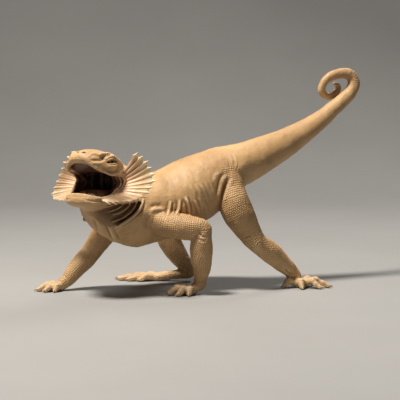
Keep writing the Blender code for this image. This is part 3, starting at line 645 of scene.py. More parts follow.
def cut_from(thing, others):
    """thing with others cut from it; the others are used up."""
    group = bpy.data.collections.new("operands")
    bpy.context.scene.collection.children.link(group)
    for other in others:
        group.objects.link(other)
    step = thing.modifiers.new("cut", "BOOLEAN")
    step.operation = "DIFFERENCE"
    step.operand_type = "COLLECTION"
    step.collection = group
    step.solver = "MANIFOLD"
    result = evaluated(thing, thing.name)
    remove(others)
    bpy.data.collections.remove(group)
    return result


def tree_of(thing):
    mesh = bmesh.new()
    mesh.from_mesh(thing.data)
    tree = BVHTree.FromBMesh(mesh)
    mesh.free()
    return tree


def remeshed(thing, name, voxel, ease=0):
    """thing fused into one even mesh with faces of the size voxel, and smoothed ease times."""
    step = thing.modifiers.new("fuse", "REMESH")
    step.mode = "VOXEL"
    step.voxel_size = voxel * MM
    if ease:
        smooth = thing.modifiers.new("ease", "SMOOTH")
        smooth.factor = 0.5
        smooth.iterations = ease
    return evaluated(thing, name)


def subdivided(thing, name):
    """thing with every face split in four."""
    step = thing.modifiers.new("finer", "SUBSURF")
    step.levels = step.render_levels = 1
    return evaluated(thing, name)


def lip_place(profile, turn, inset=0.0):
    """A place on a lip: turn runs from -90 degrees at one corner of the mouth to 90 at the other."""
    forward = JAW_LENGTH * math.cos(turn) ** (2 / JAW_SQUARENESS)
    outward = math.copysign(JAW_HALF_WIDTH * abs(math.sin(turn)) ** (2 / JAW_SQUARENESS), math.sin(turn))
    share = 1 - inset / JAW_HALF_WIDTH
    return head_point(forward * share, outward * share, height_at(profile, forward))


def lip_tube(name, profile):
    """A rounded rim round a jaw, thinner towards the corners of the mouth."""
    forward, outward = LIP_END
    ends = [(*head_point(forward, half * outward, profile[0][1]), 0.55 * LIP_RADIUS) for half in (-1, 1)]
    rows = []
    for step in range(25):
        turn = math.pi * (step / 24 - 0.5)
        thick = LIP_RADIUS * (0.55 + 0.45 * math.cos(turn) ** 0.7)
        rows.append((*lip_place(profile, turn, LIP_RADIUS), thick))
    return loft(name, stations(ends[0], *rows, ends[1]), UP, 90, 12)


def eye_turn(side):
    """Axes of an eye: out of the head, along the slit of the lids, and across it."""
    outward = (LEFT * side * 0.9 + FORWARD * 0.35 + UP * 0.22).normalized()
    along = (FORWARD - outward * FORWARD.dot(outward)).normalized()
    return Matrix((outward, along, outward.cross(along))).transposed()


def nostril_place(side):
    return head_point(NOSTRIL_PLACE[0], side * NOSTRIL_PLACE[1], NOSTRIL_PLACE[2])


def nostril_turn(side):
    """Axes of a nostril: into the snout, along its slanted slit, and across it."""
    inward = (FORWARD * 0.75 + UP * 0.62 + LEFT * side * 0.25).normalized()
    slit = (LEFT * side * 0.8 - FORWARD * 0.5 + UP * 0.35)
    slit = (slit - inward * slit.dot(inward)).normalized()
    return Matrix((inward, slit, inward.cross(slit))).transposed()


def eye_centre(side):
    return head_point(EYE_PLACE[0], side * EYE_PLACE[1], EYE_PLACE[2])


def toe_rows(base, knuckle, tip):
    """Stations of a toe, thick at each of its joints."""
    return stations(
        (*base, 1.9),
        (*knuckle, 1.9, 1.8),
        (*knuckle.lerp(tip, 0.26), 1.4, 1.35, 1.4),
        (*knuckle.lerp(tip, 0.52), 1.65, 1.6, 1.45),
        (*knuckle.lerp(tip, 0.78), 1.2, 1.15, 1.2),
        (*tip, 1.25, 1.2),
    )


def toe_lines(palm, heading, radius, lift, toes, **_):
    """Base, knuckle, tip and direction of each toe of a hand or foot."""
    turn = math.radians(heading)
    centre = Vector((*palm, 0))
    for bend, length in toes:
        angle = turn + math.radians(bend)
        along = Vector((math.cos(angle), math.sin(angle), 0))
        yield (centre + along * 1.1 + UP * 2.0, centre + along * (radius + length * 0.36) + UP * lift,
               centre + along * (radius + length - CLAW_LENGTH) + UP * 1.0, along)


def hand_forms(leg, palm, heading, **sizes):
    turn = math.radians(heading)
    ahead = Vector((math.cos(turn), math.sin(turn), 0))
    centre = Vector((*palm, 0))
    ankle = Vector(leg[-1][:3])
    pad = (
        (*(ankle + UP * 0.1), 3.0, 2.7, 2.6),
        (*ankle.lerp(centre + UP * 2.6, 0.5), 3.1, 2.2, 2.4),
        (*(centre + UP * 2.3), 3.6, 2.1, 2.6),
        (*(centre + ahead * 2.6 + UP * 1.9), 3.0, 1.7, 2.2),
    )
    forms = [loft("pad_form", pad, ahead.cross(UP), 16, 20)]
    for base, knuckle, tip, along in toe_lines(palm, heading, **sizes):
        forms.append(loft("toe_form", toe_rows(base, knuckle, tip), along.cross(UP), 24, 14))
    return forms


def body_forms():
    """The overlapping forms that are fused into one skin."""
    forms = [loft("torso_form", TORSO, SPINE_SIDE, 90, 72), loft("tail_form", TAIL, SPINE_SIDE, 260, 40)]
    for leg, rings in ((FORELEG_LEFT, 80), (FORELEG_RIGHT, 80), (HINDLEG_LEFT, 90), (HINDLEG_RIGHT, 90)):
        forms.append(loft("leg_form", leg, SPINE_SIDE, rings, 36))
    forms.append(head_loft("skull_form", SKULL, 60, 64, square=SKULL_SQUARENESS))
    forms.append(head_loft("jaw_form", JAW, 56, 64, square=JAWBONE_SQUARENESS))
    forms += [loft("neck_form", rows, LEFT, 50, 60) for rows in (THROAT, NAPE)]
    forms += [lip_tube("lip_form", profile) for profile in (UPPER_LIP, LOWER_LIP)]
    for side in (1, -1):
        forms.append(ball("lid_form", eye_centre(side), LID_RADIUS, segments=40))
        forms.append(head_tube("brow_form", BROW, UP, 30, 16, side))
        forms.append(head_tube("cheek_form", MOUTH_CORNER, FORWARD, 30, 16, side))
    for sizes in HANDS.values():
        forms += hand_forms(**sizes)
    return forms


def fused_skin():
    """Body, head, hands and feet as one skin with the mouth open and the eyes' openings cut."""
    skin = remeshed(joined("skin", body_forms()), "skin", SKIN_VOXEL)
    cutters = [head_loft("mouth_form", MOUTH, 50, 64, **MOUTH_SHAPE)]
    for side in (1, -1):
        turn = eye_turn(side)
        place = eye_centre(side) + turn.col[0] * EYE_OPENING_OUT
        cutters.append(ball("lid_opening", place, 1.0, EYE_OPENING, turn, 32))
        cutters.append(ball("nostril", nostril_place(side), 1.0, NOSTRIL_SIZE, nostril_turn(side), 24))
    skin = cut_from(skin, cutters)
    folds = [head_tube("throat_fold", rows, FORWARD, 20) for rows in THROAT_FOLDS]
    for side in (1, -1):
        folds += lid_forms(side, LID_FOLDS)
        for rows in CORNER_WEBS + (FAR_WEBS if side < 0 else ()):
            folds.append(head_tube("corner_web", rows, FORWARD, 24, half=side))
    return remeshed(joined("skin", [skin] + folds), "skin", SKIN_VOXEL, ease=3)


def camera_axes():
    back = Vector((math.sin(VIEW_TURN) * math.cos(VIEW_RISE), -math.cos(VIEW_TURN) * math.cos(VIEW_RISE),
                   math.sin(VIEW_RISE)))
    right = Vector((math.cos(VIEW_TURN), math.sin(VIEW_TURN), 0))
    return back, right, back.cross(right)


def skin_line(tree, pixels):
    """The line on the skin that the camera sees through pixels of the picture."""
    back, right, up = camera_axes()
    eye = VIEW_TARGET + back * VIEW_DISTANCE
    line = []
    for x, y, _ in curve_through([(x, y, 0) for x, y in pixels], max(6, 4 * len(pixels))):
        ray = right * (x - PICTURE / 2) + up * (PICTURE / 2 - y) - back * FOCAL_PIXELS
        place = tree.ray_cast(eye * MM, ray.normalized())[0]
        if place is not None:
            line.append(place / MM)
    return line


def stretch_distance(points, start, way):
    """Distance of each point from the straight stretch that goes from start by way, and how far along it
    the nearest place is, from 0 to 1."""
    share = np.clip((points - start) @ way / max(way @ way, 1e-9), 0, 1)
    return np.linalg.norm(points - start - share[:, None] * way, axis=1), share


def line_distance(points, line):
    """Distance of each point from a line of stretches, and how far along it the nearest place is."""
    nearest = np.full(len(points), 1e9)
    along = np.zeros(len(points))
    steps = len(line) - 1
    for i in range(steps):
        gap, share = stretch_distance(points, np.array(line[i]), np.array(line[i + 1] - line[i]))
        closer = gap < nearest
        nearest[closer] = gap[closer]
        along[closer] = (i + share[closer]) / steps
    return nearest, along


def mirrored_line(line, half, tree):
    """The same line on the other half of the head or body, set on the skin."""
    other = []
    for place in line:
        if half == "head":
            place = place - LEFT * (2 * (place - HEAD_ORIGIN).dot(LEFT))
        else:
            place = Vector((place.x, -place.y, place.z))
        hit, _, _, gap = tree.find_nearest(place * MM)
        if gap > 3 * MM:
            return []
        other.append(hit / MM)
    return other


def raise_line(points, normals, line, half_width, height):
    """Raises the skin along a line, and sinks it a little on both sides."""
    low = np.min([np.array(p) for p in line], axis=0) - 4
    high = np.max([np.array(p) for p in line], axis=0) + 4
    near = np.where(((points > low) & (points < high)).all(axis=1))[0]
    gap, along = line_distance(points[near], line)
    taper = np.clip(np.minimum(along, 1 - along) * 4, 0, 1) ** 0.7
    crest = np.exp(-(gap / half_width) ** 2)
    beside = np.exp(-((gap - 2.1 * half_width) / half_width) ** 2)
    points[near] += normals[near] * (height * taper * (crest - 0.35 * beside))[:, None]


def seen_at(points):
    """The pixel of the picture at which the camera sees each point."""
    back, right, up = camera_axes()
    offset = points - np.array(VIEW_TARGET + back * VIEW_DISTANCE)
    scale = FOCAL_PIXELS / -(offset @ np.array(back))
    pixels = [offset @ np.array(right) * scale, -(offset @ np.array(up)) * scale]
    return PICTURE / 2 + np.stack(pixels, axis=1)


def inside_outline(pixels, outline):
    """How far inside an outline each pixel lies, below zero outside it."""
    nearest = np.full(len(pixels), 1e9)
    within = np.zeros(len(pixels), bool)
    for start, end in zip(outline, outline[1:] + outline[:1]):
        start, way = np.array(start, float), np.subtract(end, start)
        nearest = np.minimum(nearest, stretch_distance(pixels, start, way)[0])
        passed = (start[1] > pixels[:, 1]) != (end[1] > pixels[:, 1])
        rise = way[1] if way[1] else 1e-9
        within ^= passed & (pixels[:, 0] < start[0] + (pixels[:, 1] - start[1]) * way[0] / rise)
    return np.where(within, nearest, -nearest)


def mirrored_shares(points, normals, outline, soft):
    """How much each point lies within an outline of the picture, and the same on the head's other half,
    each with the pixels and the direction away from the camera there. The other half's fades sooner."""
    shares = []
    back = np.array(camera_axes()[0])
    sideways = np.array(LEFT)
    offset = points - np.array(HEAD_ORIGIN)
    for mirror, steepness, reach in ((0, 5, 12), (2, 3.5, 9)):
        spots = points - mirror * (offset @ sideways)[:, None] * sideways
        facing = normals - mirror * (normals @ sideways)[:, None] * sideways
        pixels = seen_at(spots)
        share = np.clip(inside_outline(pixels, outline) / soft + 0.2, 0, 1)
        share *= np.clip((facing @ back - 0.2) * steepness, 0, 1)
        share *= np.clip(3 - np.linalg.norm(offset, axis=1) / reach, 0, 1)
        away = -back + mirror * (back @ sideways) * sideways
        shares.append((eased(share), pixels, away))
    return shares


def pouch_shares(points, normals):
    """How much painted shade the pouch of the throat gets at each point and how deep it is there, fading out
    towards the front of the neck, with the direction that it is pressed in."""
    before, columns, rows = POUCH_FADE
    shares = mirrored_shares(points, normals, POUCH, POUCH_EDGE)
    for start, (share, pixels, away) in zip(POUCH_STARTS, shares):
        x, y = pixels.T
        higher = np.clip((POUCH_ROW - y) / rows, -1, 0.35)
        ahead = np.clip((x - start - before) / columns + higher, 0, 1)
        yield share * np.clip((x - start) / POUCH_SHADE, 0, 1), share * eased(ahead), away


def fold_skin(skin, points):
    """Presses the hollows into the skin and raises its folds."""
    tree = tree_of(skin)
    normals = read_normals(skin.data)
    for _, share, away in pouch_shares(points, normals):
        points += away * (POUCH_DEPTH * share)[:, None]
    for pixel, radius, depth in HOLLOWS:
        spot = skin_line(tree, (pixel, pixel))[0]
        for place in [spot] + mirrored_line([spot], "body", tree):
            gap = np.linalg.norm(points - np.array(place), axis=1)
            facing = np.clip(normals @ np.array(tree.find_nearest(place * MM)[1]) * 1.5, 0, 1)
            points -= normals * (depth * facing * np.exp(-(gap / radius) ** 2))[:, None]
    write_points(skin.data, points)
    tree = tree_of(skin)
    normals = read_normals(skin.data)
    for pixels, half_width, height, half in FOLDS:
        line = skin_line(tree, pixels)
        for places in (line, mirrored_line(line, half, tree) if half else []):
            if len(places) > 2:
                raise_line(points, normals, places, half_width, height)
    return normals


def ring_seeds(rows, side, sizes, deep, kind, square=(2.0, 2.0), facing=None):
    """Centres of scales in offset rows round a form, with sizes at its start and end: for each its place,
    direction towards the tail, size, depth and kind."""
    samples, spots, upright = line_through(rows, side, 400)
    length = sum((b - a).length for a, b in zip(spots, spots[1:]))
    last = len(spots) - 1
    seeds = []
    row = 0
    done = 0.0
    while done < length:
        share = done / length
        i = min(int(share * last), last)
        size = sizes[0] + (sizes[1] - sizes[0]) * share
        tangent, across, lift = section(spots, i, side, upright, facing)
        wide, above, below = samples[i][3:6]
        count = max(6, round(math.pi * (wide + (above + below) / 2) / size))
        for k in range(count):
            angle = 2 * math.pi * (k + 0.5 * (row % 2)) / count
            place = rim_place(spots[i], across, lift, samples[i][3:6], square, angle)
            seeds.append((place, tangent, size, deep, kind))
        row += 1
        done += size * 0.86
    return seeds


def lip_seeds():
    """Two rows of larger scales along each lip."""
    seeds = []
    for profile, away, rows in ((UPPER_LIP, UP, UPPER_LIP_SCALES), (LOWER_LIP, -UP, LOWER_LIP_SCALES)):
        for row, (size, deep) in enumerate(rows):
            count = round(LIP_ROW / size)
            for k in range(count + 1):
                place = lip_place(profile, math.pi * (k / count - 0.5) * 0.97, -0.1)
                seeds.append((place + away * (0.2 + 1.0 * row), LEFT, size, deep, HEAD))
    return seeds


def scale_seeds():
    """Scale centres over all forms, the more particular ones first."""
    seeds = lip_seeds()
    for side in (1, -1):
        outward = LEFT * side * 0.7 + UP * 0.7
        for x, y, z, radius, *_ in curve_through(head_rows(BROW, side), 20):
            seeds.append((Vector((x, y, z)) + outward * radius, FORWARD, *BROW_SCALES, HEAD))
    seeds += ring_seeds(head_stations(SKULL), LEFT, (0.95, 0.8), 0.085, HEAD, SKULL_SQUARENESS, FORWARD)
    seeds += ring_seeds(head_stations(JAW), LEFT, (0.95, 0.9), 0.05, HEAD, JAWBONE_SQUARENESS, FORWARD)
    for sizes in HANDS.values():
        for base, knuckle, tip, along in toe_lines(**sizes):
            seeds += ring_seeds(toe_rows(base, knuckle, tip), along.cross(UP), (1.0, 0.85), 0.17, HAND)
    forms = (
        (FORELEG_LEFT, SPINE_SIDE, (0.9, 1.1), 0.2, LIMB),
        (FORELEG_RIGHT, SPINE_SIDE, (0.9, 1.1), 0.2, LIMB),
        (HINDLEG_LEFT, SPINE_SIDE, (0.95, 1.2), 0.22, LIMB),
        (HINDLEG_RIGHT, SPINE_SIDE, (0.95, 1.2), 0.22, LIMB),
        (TAIL, SPINE_SIDE, (0.95, 0.85), 0.09, TAIL_END),
        (NAPE, LEFT, (0.9, 0.9), 0.09, TRUNK),
        (THROAT, LEFT, (0.9, 0.9), 0.07, TRUNK),
        (TORSO, SPINE_SIDE, (0.9, 0.9), 0.085, TRUNK),
    )
    for form in forms:
        seeds += ring_seeds(*form)
    return seeds


class Spread:
    """Places kept at least a given distance apart, in a grid of cells."""

    def __init__(self, cell):
        self.cell = cell
        self.cells = {}

    def key(self, place):
        return tuple(int(math.floor(v / self.cell)) for v in place)

    def accept(self, place, least):
        x, y, z = self.key(place)
        for i in (x - 1, x, x + 1):
            for j in (y - 1, y, y + 1):
                for k in (z - 1, z, z + 1):
                    for other in self.cells.get((i, j, k), ()):
                        if (other - place).length_squared < least * least:
                            return False
        self.cells.setdefault((x, y, z), []).append(place)
        return True


def index_of(places):
    """A search index over places."""
    index = KDTree(len(places))
    for i, place in enumerate(places):
        index.insert(place, i)
    index.balance()
    return index


def placed_seeds(tree, points):
    """The seeds that lie on the skin, spread out, with the gaps between the forms filled."""
    spread = Spread(SPREAD_CELL)
    kept = []
    for place, way, size, deep, kind in scale_seeds():
        hit, _, _, gap = tree.find_nearest(place * MM)
        if hit is None or gap > SEED_REACH * MM:
            continue
        spot = hit / MM
        if spread.accept(spot, ROW_SPACING * size):
            kept.append((spot, way, size, deep, kind))
    index = index_of([seed[0] for seed in kept])
    rng = random.Random(SCALE_DRAWS)
    for i, (spot, way, size, deep, kind) in enumerate(kept):
        loose = 0.2 if kind == LIMB else 0.14
        shake = Vector([rng.uniform(-loose, loose) * size for _ in range(3)])
        kept[i] = (spot + shake, way, size, deep * rng.uniform(0.6, 1.3), kind)
    order = list(range(0, len(points), 4))
    rng.shuffle(order)
    for i in order:
        spot = Vector(points[i])
        near = kept[index.find(spot)[1]]
        if spread.accept(spot, GAP_SPACING * near[2]):
            kept.append((spot, *near[1:]))
    return kept


def scale_relief(points, normals, tree):
    """Raises each scale in a low dome, a little higher towards its free edge, with grooves between.
    Returns how high each point lies between groove and dome, and the kind and tone of its scale."""
    seeds = placed_seeds(tree, points)
    index = index_of([seed[0] for seed in seeds])
    first = np.zeros(len(points), int)
    second = np.zeros(len(points), int)
    for i, point in enumerate(points):
        found = index.find_n(point, 2)
        first[i], second[i] = found[0][1], found[1][1]
    places, ways = (np.array([tuple(seed[k]) for seed in seeds]) for k in (0, 1))
    sizes, depths, kinds = (np.array([seed[k] for seed in seeds]) for k in (2, 3, 4))
    tones = np.random.default_rng(TONE_DRAWS).random(len(seeds))
    offset = points - places[first]
    size = sizes[first]
    near = np.linalg.norm(offset, axis=1)
    far = np.linalg.norm(points - places[second], axis=1)
    edge = eased(np.clip((far - near) / (0.42 * size), 0, 1))
    tilt = (offset * ways[first]).sum(axis=1) / size
    dome = 1 - np.clip(near / size, 0, 1) ** 2
    depth = (depths[first] + depths[second]) / 2
    lift = depth * (edge - 1 + 0.45 * dome + 0.95 * tilt * edge)
    points += normals * lift[:, None]
    return edge, kinds[first], tones[first]


def read_vectors(layer, field):
    values = np.empty(len(layer) * 3)
    layer.foreach_get(field, values)
    return values.reshape(-1, 3)


def read_points(mesh):
    return read_vectors(mesh.vertices, "co") / MM


def read_normals(mesh):
    return read_vectors(mesh.vertex_normals, "vector")


def write_points(mesh, points):
    mesh.vertices.foreach_set("co", (points * MM).astype(np.float32).ravel())
    mesh.update()


def add_attribute(mesh, name, values):
    layer = mesh.attributes.new(name, "FLOAT", "POINT")
    layer.data.foreach_set("value", np.asarray(values, np.float32))


def inside_mouth(points, normals):
    """How much each point belongs to the inside of the mouth, from 0 to 1."""
    form = head_loft("mouth_measure", MOUTH, 50, 48, **MOUTH_SHAPE)
    tree = tree_of(form)
    remove([form])
    share = np.zeros(len(points))
    centre = np.array(head_point(4, 0, -3))
    for i in np.where(np.linalg.norm(points - centre, axis=1) < 26)[0]:
        spot = Vector(points[i]) * MM
        hit, normal, _, gap = tree.find_nearest(spot)
        if (spot - hit).dot(normal) < 0:
            share[i] = 1
        elif Vector(normals[i]).dot(normal) < 0:
            share[i] = max(0.0, 1 - gap / (1.3 * MM))
    return share


def inside_nostrils(points):
    """How much each point belongs to a nostril, from 0 to 1."""
    share = np.zeros(len(points))
    for side in (1, -1):
        local = (points - np.array(nostril_place(side))) @ np.array(nostril_turn(side))
        share = np.maximum(share, 3.2 - 2.6 * np.linalg.norm(local / NOSTRIL_DARK, axis=1))
    return np.clip(share, 0, 1)


def uneven_skin(points, normals):
    """Makes the skin a little uneven, most on the trunk and the tail."""
    head = np.linalg.norm(points - np.array(head_point(4, 0, 0)), axis=1) < 24
    for i, point in enumerate(points):
        spot = Vector(point)
        crosswise = Vector((spot.x * 0.5, spot.y * 0.12, spot.z * 0.2))
        height = 0.22 * noise.noise(spot * 0.22) + 0.12 * noise.noise(crosswise)
        height += 0.06 * noise.noise(spot * 0.8)
        points[i] += normals[i] * (height * (0.3 if head[i] else 1))


def ring_tail(points, normals):
    """Low rings round the thin end of the tail, closer together towards the tip."""
    places = [sample[:3] for sample in curve_through(TAIL, 600)]
    index = index_of(places)
    along = [0.0]
    for before, place in zip(places, places[1:]):
        along.append(along[-1] + math.dist(place, before))
    wide, narrower = RING_SPACING
    for i in np.where((points[:, 0] > RINGED_X) & (points[:, 2] > RINGED_Z))[0]:
        _, number, _ = index.find(points[i])
        done = along[number] / along[-1]
        strength = RING_HEIGHT * min(1, max(0, (done - RING_START) / RING_FADE))
        wave = math.cos(2 * math.pi * along[number] / (wide - narrower * done))
        points[i] += normals[i] * (strength * wave)


def crease_depth(mesh, points, normals, rounds=14):
    """How far each point lies below the smoothed skin, in millimetres: above zero in a crease.
    It steers the painted shade in creases and the painted highlight on ridges.
    """
    ends = np.empty(len(mesh.edges) * 2, int)
    mesh.edges.foreach_get("vertices", ends)
    ends = ends.reshape(-1, 2)
    links = np.bincount(ends.ravel(), minlength=len(points)).astype(float)
    smooth = points.copy()
    for _ in range(rounds):
        total = np.zeros_like(smooth)
        for axis in range(3):
            total[:, axis] = np.bincount(ends[:, 0], smooth[ends[:, 1], axis], len(points))
            total[:, axis] += np.bincount(ends[:, 1], smooth[ends[:, 0], axis], len(points))
        smooth = total / links[:, None]
    return ((smooth - points) * normals).sum(axis=1)


def make_skin():
    skin = fused_skin()
    skin = subdivided(skin, "skin")
    points = read_points(skin.data)
    normals = read_normals(skin.data)
    # Shares of the painted shade in the throat's pouch and round the corners of the mouth
    pouch = sum(shade for shade, _, _ in pouch_shares(points, normals))
    corner = sum(share for share, _, _ in mirrored_shares(points, normals, CORNER, CORNER_EDGE))
    normals = fold_skin(skin, points)
    ring_tail(points, normals)
    uneven_skin(points, normals)
    write_points(skin.data, points)
    tree = tree_of(skin)
    normals = read_normals(skin.data)
    crease = crease_depth(skin.data, points, normals)
    # The inside of the mouth and of the nostrils, which is painted with shade
    mouth = np.maximum(inside_mouth(points, normals), inside_nostrils(points))
    smooth = points.copy()
    edge, kind, tone = scale_relief(points, normals, tree)
    points += (smooth - points) * np.clip(mouth * 1.4, 0, 1)[:, None]
    points[:, 2] = np.maximum(points[:, 2], 0)
    write_points(skin.data, points)
    # groove, crease, mouth, pouch and corner steer painted shade, and crease also painted highlight; tone
    # and hand steer the skin's own colour, and limb how strong the painted shade in the grooves is
    shares = dict(groove=(1 - edge) * (1 - mouth), crease=crease, tone=tone, mouth=mouth,
                  pouch=np.clip(pouch, 0, 1), corner=np.clip(corner, 0, 1),
                  hand=kind == HAND, limb=(kind == LIMB) | (kind == HAND))
    for name, values in shares.items():
        add_attribute(skin.data, name, values)
    return skin


def grid_object(name, front, back):
    """A closed sheet from a front and a back grid of places."""
    columns, rows = front.shape[:2]
    mesh = bmesh.new()
    sides = [[[mesh.verts.new(Vector(place) * MM) for place in column] for column in side]
             for side in (front, back)]
    for side, order in ((sides[0], 1), (sides[1], -1)):
        for i in range(columns - 1):
            for j in range(rows - 1):
                mesh.faces.new((side[i][j], side[i + 1][j], side[i + 1][j + 1], side[i][j + 1])[::order])
    border = [(i, 0) for i in range(columns)] + [(columns - 1, j) for j in range(1, rows)]
    border += [(i, rows - 1) for i in range(columns - 2, -1, -1)] + [(0, j) for j in range(rows - 2, 0, -1)]
    for (i, j), (k, m) in zip(border, border[1:] + border[:1]):
        mesh.faces.new((sides[0][i][j], sides[1][i][j], sides[1][k][m], sides[0][k][m]))
    return object_from(name, mesh, turned=True)


def flap_sheet(side, rim_rows):
    """Places on a cheek flap, column by column from root to tip, and how much of a spike each column has."""
    seed, longest, calm = FLAP_LOOKS[side]
    columns = FLAP_TEETH * TOOTH_COLUMNS
    rim = curve_through(rim_rows, columns + 1)
    root = curve_through(FLAP_ROOT, columns + 1)
    rng = random.Random(seed)
    lengths = [longest * rng.uniform(0.7, 1.25) for _ in range(FLAP_TEETH)]
    strengths = [rng.uniform(0.65, 1.15) for _ in range(FLAP_TEETH)]
    sheet = np.zeros((columns + 1, FLAP_ROWS + 1, 3))
    spikes = np.zeros(columns + 1)
    for i in range(columns + 1):
        down = i / columns
        number = min(i // TOOTH_COLUMNS, FLAP_TEETH - 1)
        phase = i / TOOTH_COLUMNS - number
        off = abs(2 * phase - 1)
        spikes[i] = max(0.0, 1 - off / SPIKE_WIDTH) ** 1.15
        spike = lengths[number] * float(spikes[i])
        inner, outer = Vector(root[i][:3]), Vector(rim[i][:3])
        reach = (outer - inner).normalized()
        flat = min(1, max(0, (down - FLAT_START) / FLAT_FADE))
        tuck = 0.1 - 0.09 * flat
        deep = calm * (0.62 + 0.5 * max(0, 1 - down / 0.25))
        ridge = math.exp(-((phase - 0.5) / RIDGE_WIDTH) ** 2) * strengths[number]
        for j in range(FLAP_ROWS + 1):
            out = j / FLAP_ROWS
            share = min(out / WEB_END, 1)
            place = inner.lerp(outer, share * (1 + tuck) - tuck)
            if out > WEB_END:
                tip = (out - WEB_END) / (1 - WEB_END)
                place = outer + reach * ((0.12 + spike - NOTCH_DEPTH * off ** 3) * tip)
                place += SPIKE_SWEEP * (spike * tip * tip)
            pleat = deep * (ridge - 0.35) + 0.1 * math.sin(4 * math.pi * phase + 1.3 * number)
            pleat *= math.sin(math.pi * min(share, 0.78)) ** 0.8 * (1 - 0.88 * flat)
            ahead = min(1, max(0, (place.y - 1) / 4))
            cup = -1.1 * math.sin(math.pi * share) * (1 - 0.8 * eased(ahead))
            forward = FLAP_CORNER[0] + place.y + pleat + cup
            sheet[i, j] = head_point(forward, side * (FLAP_CORNER[1] + place.x), FLAP_CORNER[2] + place.z)
    return sheet, spikes


def flap_thickness(spikes, web, thinner, root, lower, taper, edge, ridge):
    """Half the sheet's thickness at each of its places: thick at the root and along the spikes."""
    down, out = (np.arange(count) / (count - 1) for count in (len(spikes), FLAP_ROWS + 1))
    rooted = root - lower * np.clip((down - FLAT_START) / FLAT_FADE, 0, 1)
    thick = web - thinner * out + rooted[:, None] * np.clip(1 - out / taper, 0, 1) ** 2
    spiky = np.clip((out - WEB_END) / (1 - WEB_END), 0, 1)
    return thick * (1 - spiky) + (edge + ridge * spikes[:, None] * (1 - spiky)) * spiky


def make_flap(name, side, rim_rows):
    """A cheek flap: a thin fan of skin, pleated above and smooth below, whose ridges run out into spikes."""
    sheet, spikes = flap_sheet(side, rim_rows)
    normal = np.cross(np.gradient(sheet, axis=0), np.gradient(sheet, axis=1))
    normal /= np.maximum(np.linalg.norm(normal, axis=2, keepdims=True), 1e-9)
    half = normal * flap_thickness(spikes, **FLAP_HALF_THICKNESS)[..., None]
    flap = subdivided(grid_object("flap_sheet", sheet + half, sheet - half), name)
    points = read_points(flap.data)
    corner = np.array(head_point(FLAP_CORNER[0], side * FLAP_CORNER[1], FLAP_CORNER[2]))
    blush = 1 - np.linalg.norm(points - corner, axis=1) / 15
    add_attribute(flap.data, "blush", np.clip(blush, 0, 1))
    add_attribute(flap.data, "crease", crease_depth(flap.data, points, read_normals(flap.data), 10))
    return flap


def make_eye(name, side):
    eye = ball(name, eye_centre(side), EYE_RADIUS, turn=eye_turn(side), segments=72)
    outward = np.array(eye_turn(side).col[0])
    offset = read_points(eye.data) - np.array(eye_centre(side))
    facing = np.clip(offset @ outward / EYE_RADIUS, -1, 1)
    add_attribute(eye.data, "gaze", np.degrees(np.arccos(facing)))
    return eye


def lid_forms(side, arcs):
    """Rounded arcs round an eye, each with a half width, a height, a lift, a thickness and a radius."""
    turn = eye_turn(side)
    upper = 1 if turn.col[2].z > 0 else -1
    forms = []
    for wide, tall, lift, thick, radius in arcs:
        rows = []
        for step in range(13):
            angle = math.pi * step / 12
            along = wide * math.cos(angle)
            across = upper * (tall * math.sin(angle) ** 0.8 + lift)
            outward = math.sqrt(max(radius ** 2 - along ** 2 - across ** 2, 0.1))
            rows.append((*(eye_centre(side) + turn @ Vector((outward, along, across))), thick))
        forms.append(loft("lid", stations(*rows), turn.col[0], 40, 12))
    return forms


def make_lids(name, side):
    """Two thick rims that close over the eye in an almond shape."""
    return joined(name, lid_forms(side, LID_RIMS))


def make_tongue():
    """The tongue with a groove along its middle and wrinkles across it."""
    form = head_loft("tongue", TONGUE, 40, 48, blunt=0.6, square=(2.6, 2.2))
    tongue = remeshed(form, "tongue", 0.35, ease=2)
    points = read_points(tongue.data)
    offset = points - np.array(HEAD_ORIGIN)
    outward, forward = offset @ np.array(LEFT), offset @ np.array(FORWARD)
    normals = read_normals(tongue.data)
    (depth, width), (height, pitch) = TONGUE_GROOVE, TONGUE_WRINKLES
    groove = depth * np.exp(-(outward / width) ** 2)
    wrinkle = height * np.sin(forward * pitch + 0.6 * np.sin(outward * 1.7))
    points += normals * ((wrinkle - groove) * np.clip(normals[:, 2], 0, 1))[:, None]
    write_points(tongue.data, points)
    return tongue


def make_claws(name, sizes):
    forms = []
    for _, _, tip, along in toe_lines(**sizes):
        rows = stations(
            (*(tip - along * 0.3 + UP * 0.1), 0.66, 0.62, 0.5),
            (*(tip + along * 0.8 + UP * 0.15), 0.52, 0.52, 0.42),
            (*(tip + along * 1.4 - UP * 0.1), 0.34, 0.34, 0.3),
            (*(tip + along * 1.9 - UP * 0.6), 0.1, 0.12),
        )
        forms.append(loft("claw", rows, along.cross(UP), 16, 12))
    claws = joined(name, forms)
    points = read_points(claws.data)
    points[:, 2] = np.maximum(points[:, 2], 0.02)
    write_points(claws.data, points)
    return claws


def make_cones(name, rows):
    """Many small cones, each from a base to a tip."""
    mesh = bmesh.new()
    angles = [2 * math.pi * k / 7 for k in range(7)]
    for base, tip, radius in rows:
        along = (tip - base).normalized()
        across = along.orthogonal().normalized()
        upward = along.cross(across)
        rings = []
        for share, width in ((-0.25, 1.0), (0.15, 0.85), (0.6, 0.45), (0.9, 0.14)):
            centre = base.lerp(tip, share)
            spokes = [(across * math.cos(a) + upward * math.sin(a)) * (radius * width) for a in angles]
            rings.append([mesh.verts.new((centre + spoke) * MM) for spoke in spokes])
        point = mesh.verts.new(tip * MM)
        join_rings(mesh, rings)
        for k, corner in enumerate(rings[-1]):
            mesh.faces.new((corner, rings[-1][(k + 1) % len(angles)], point))
        mesh.faces.new(rings[0][::-1])
    return object_from(name, mesh, turned=True)


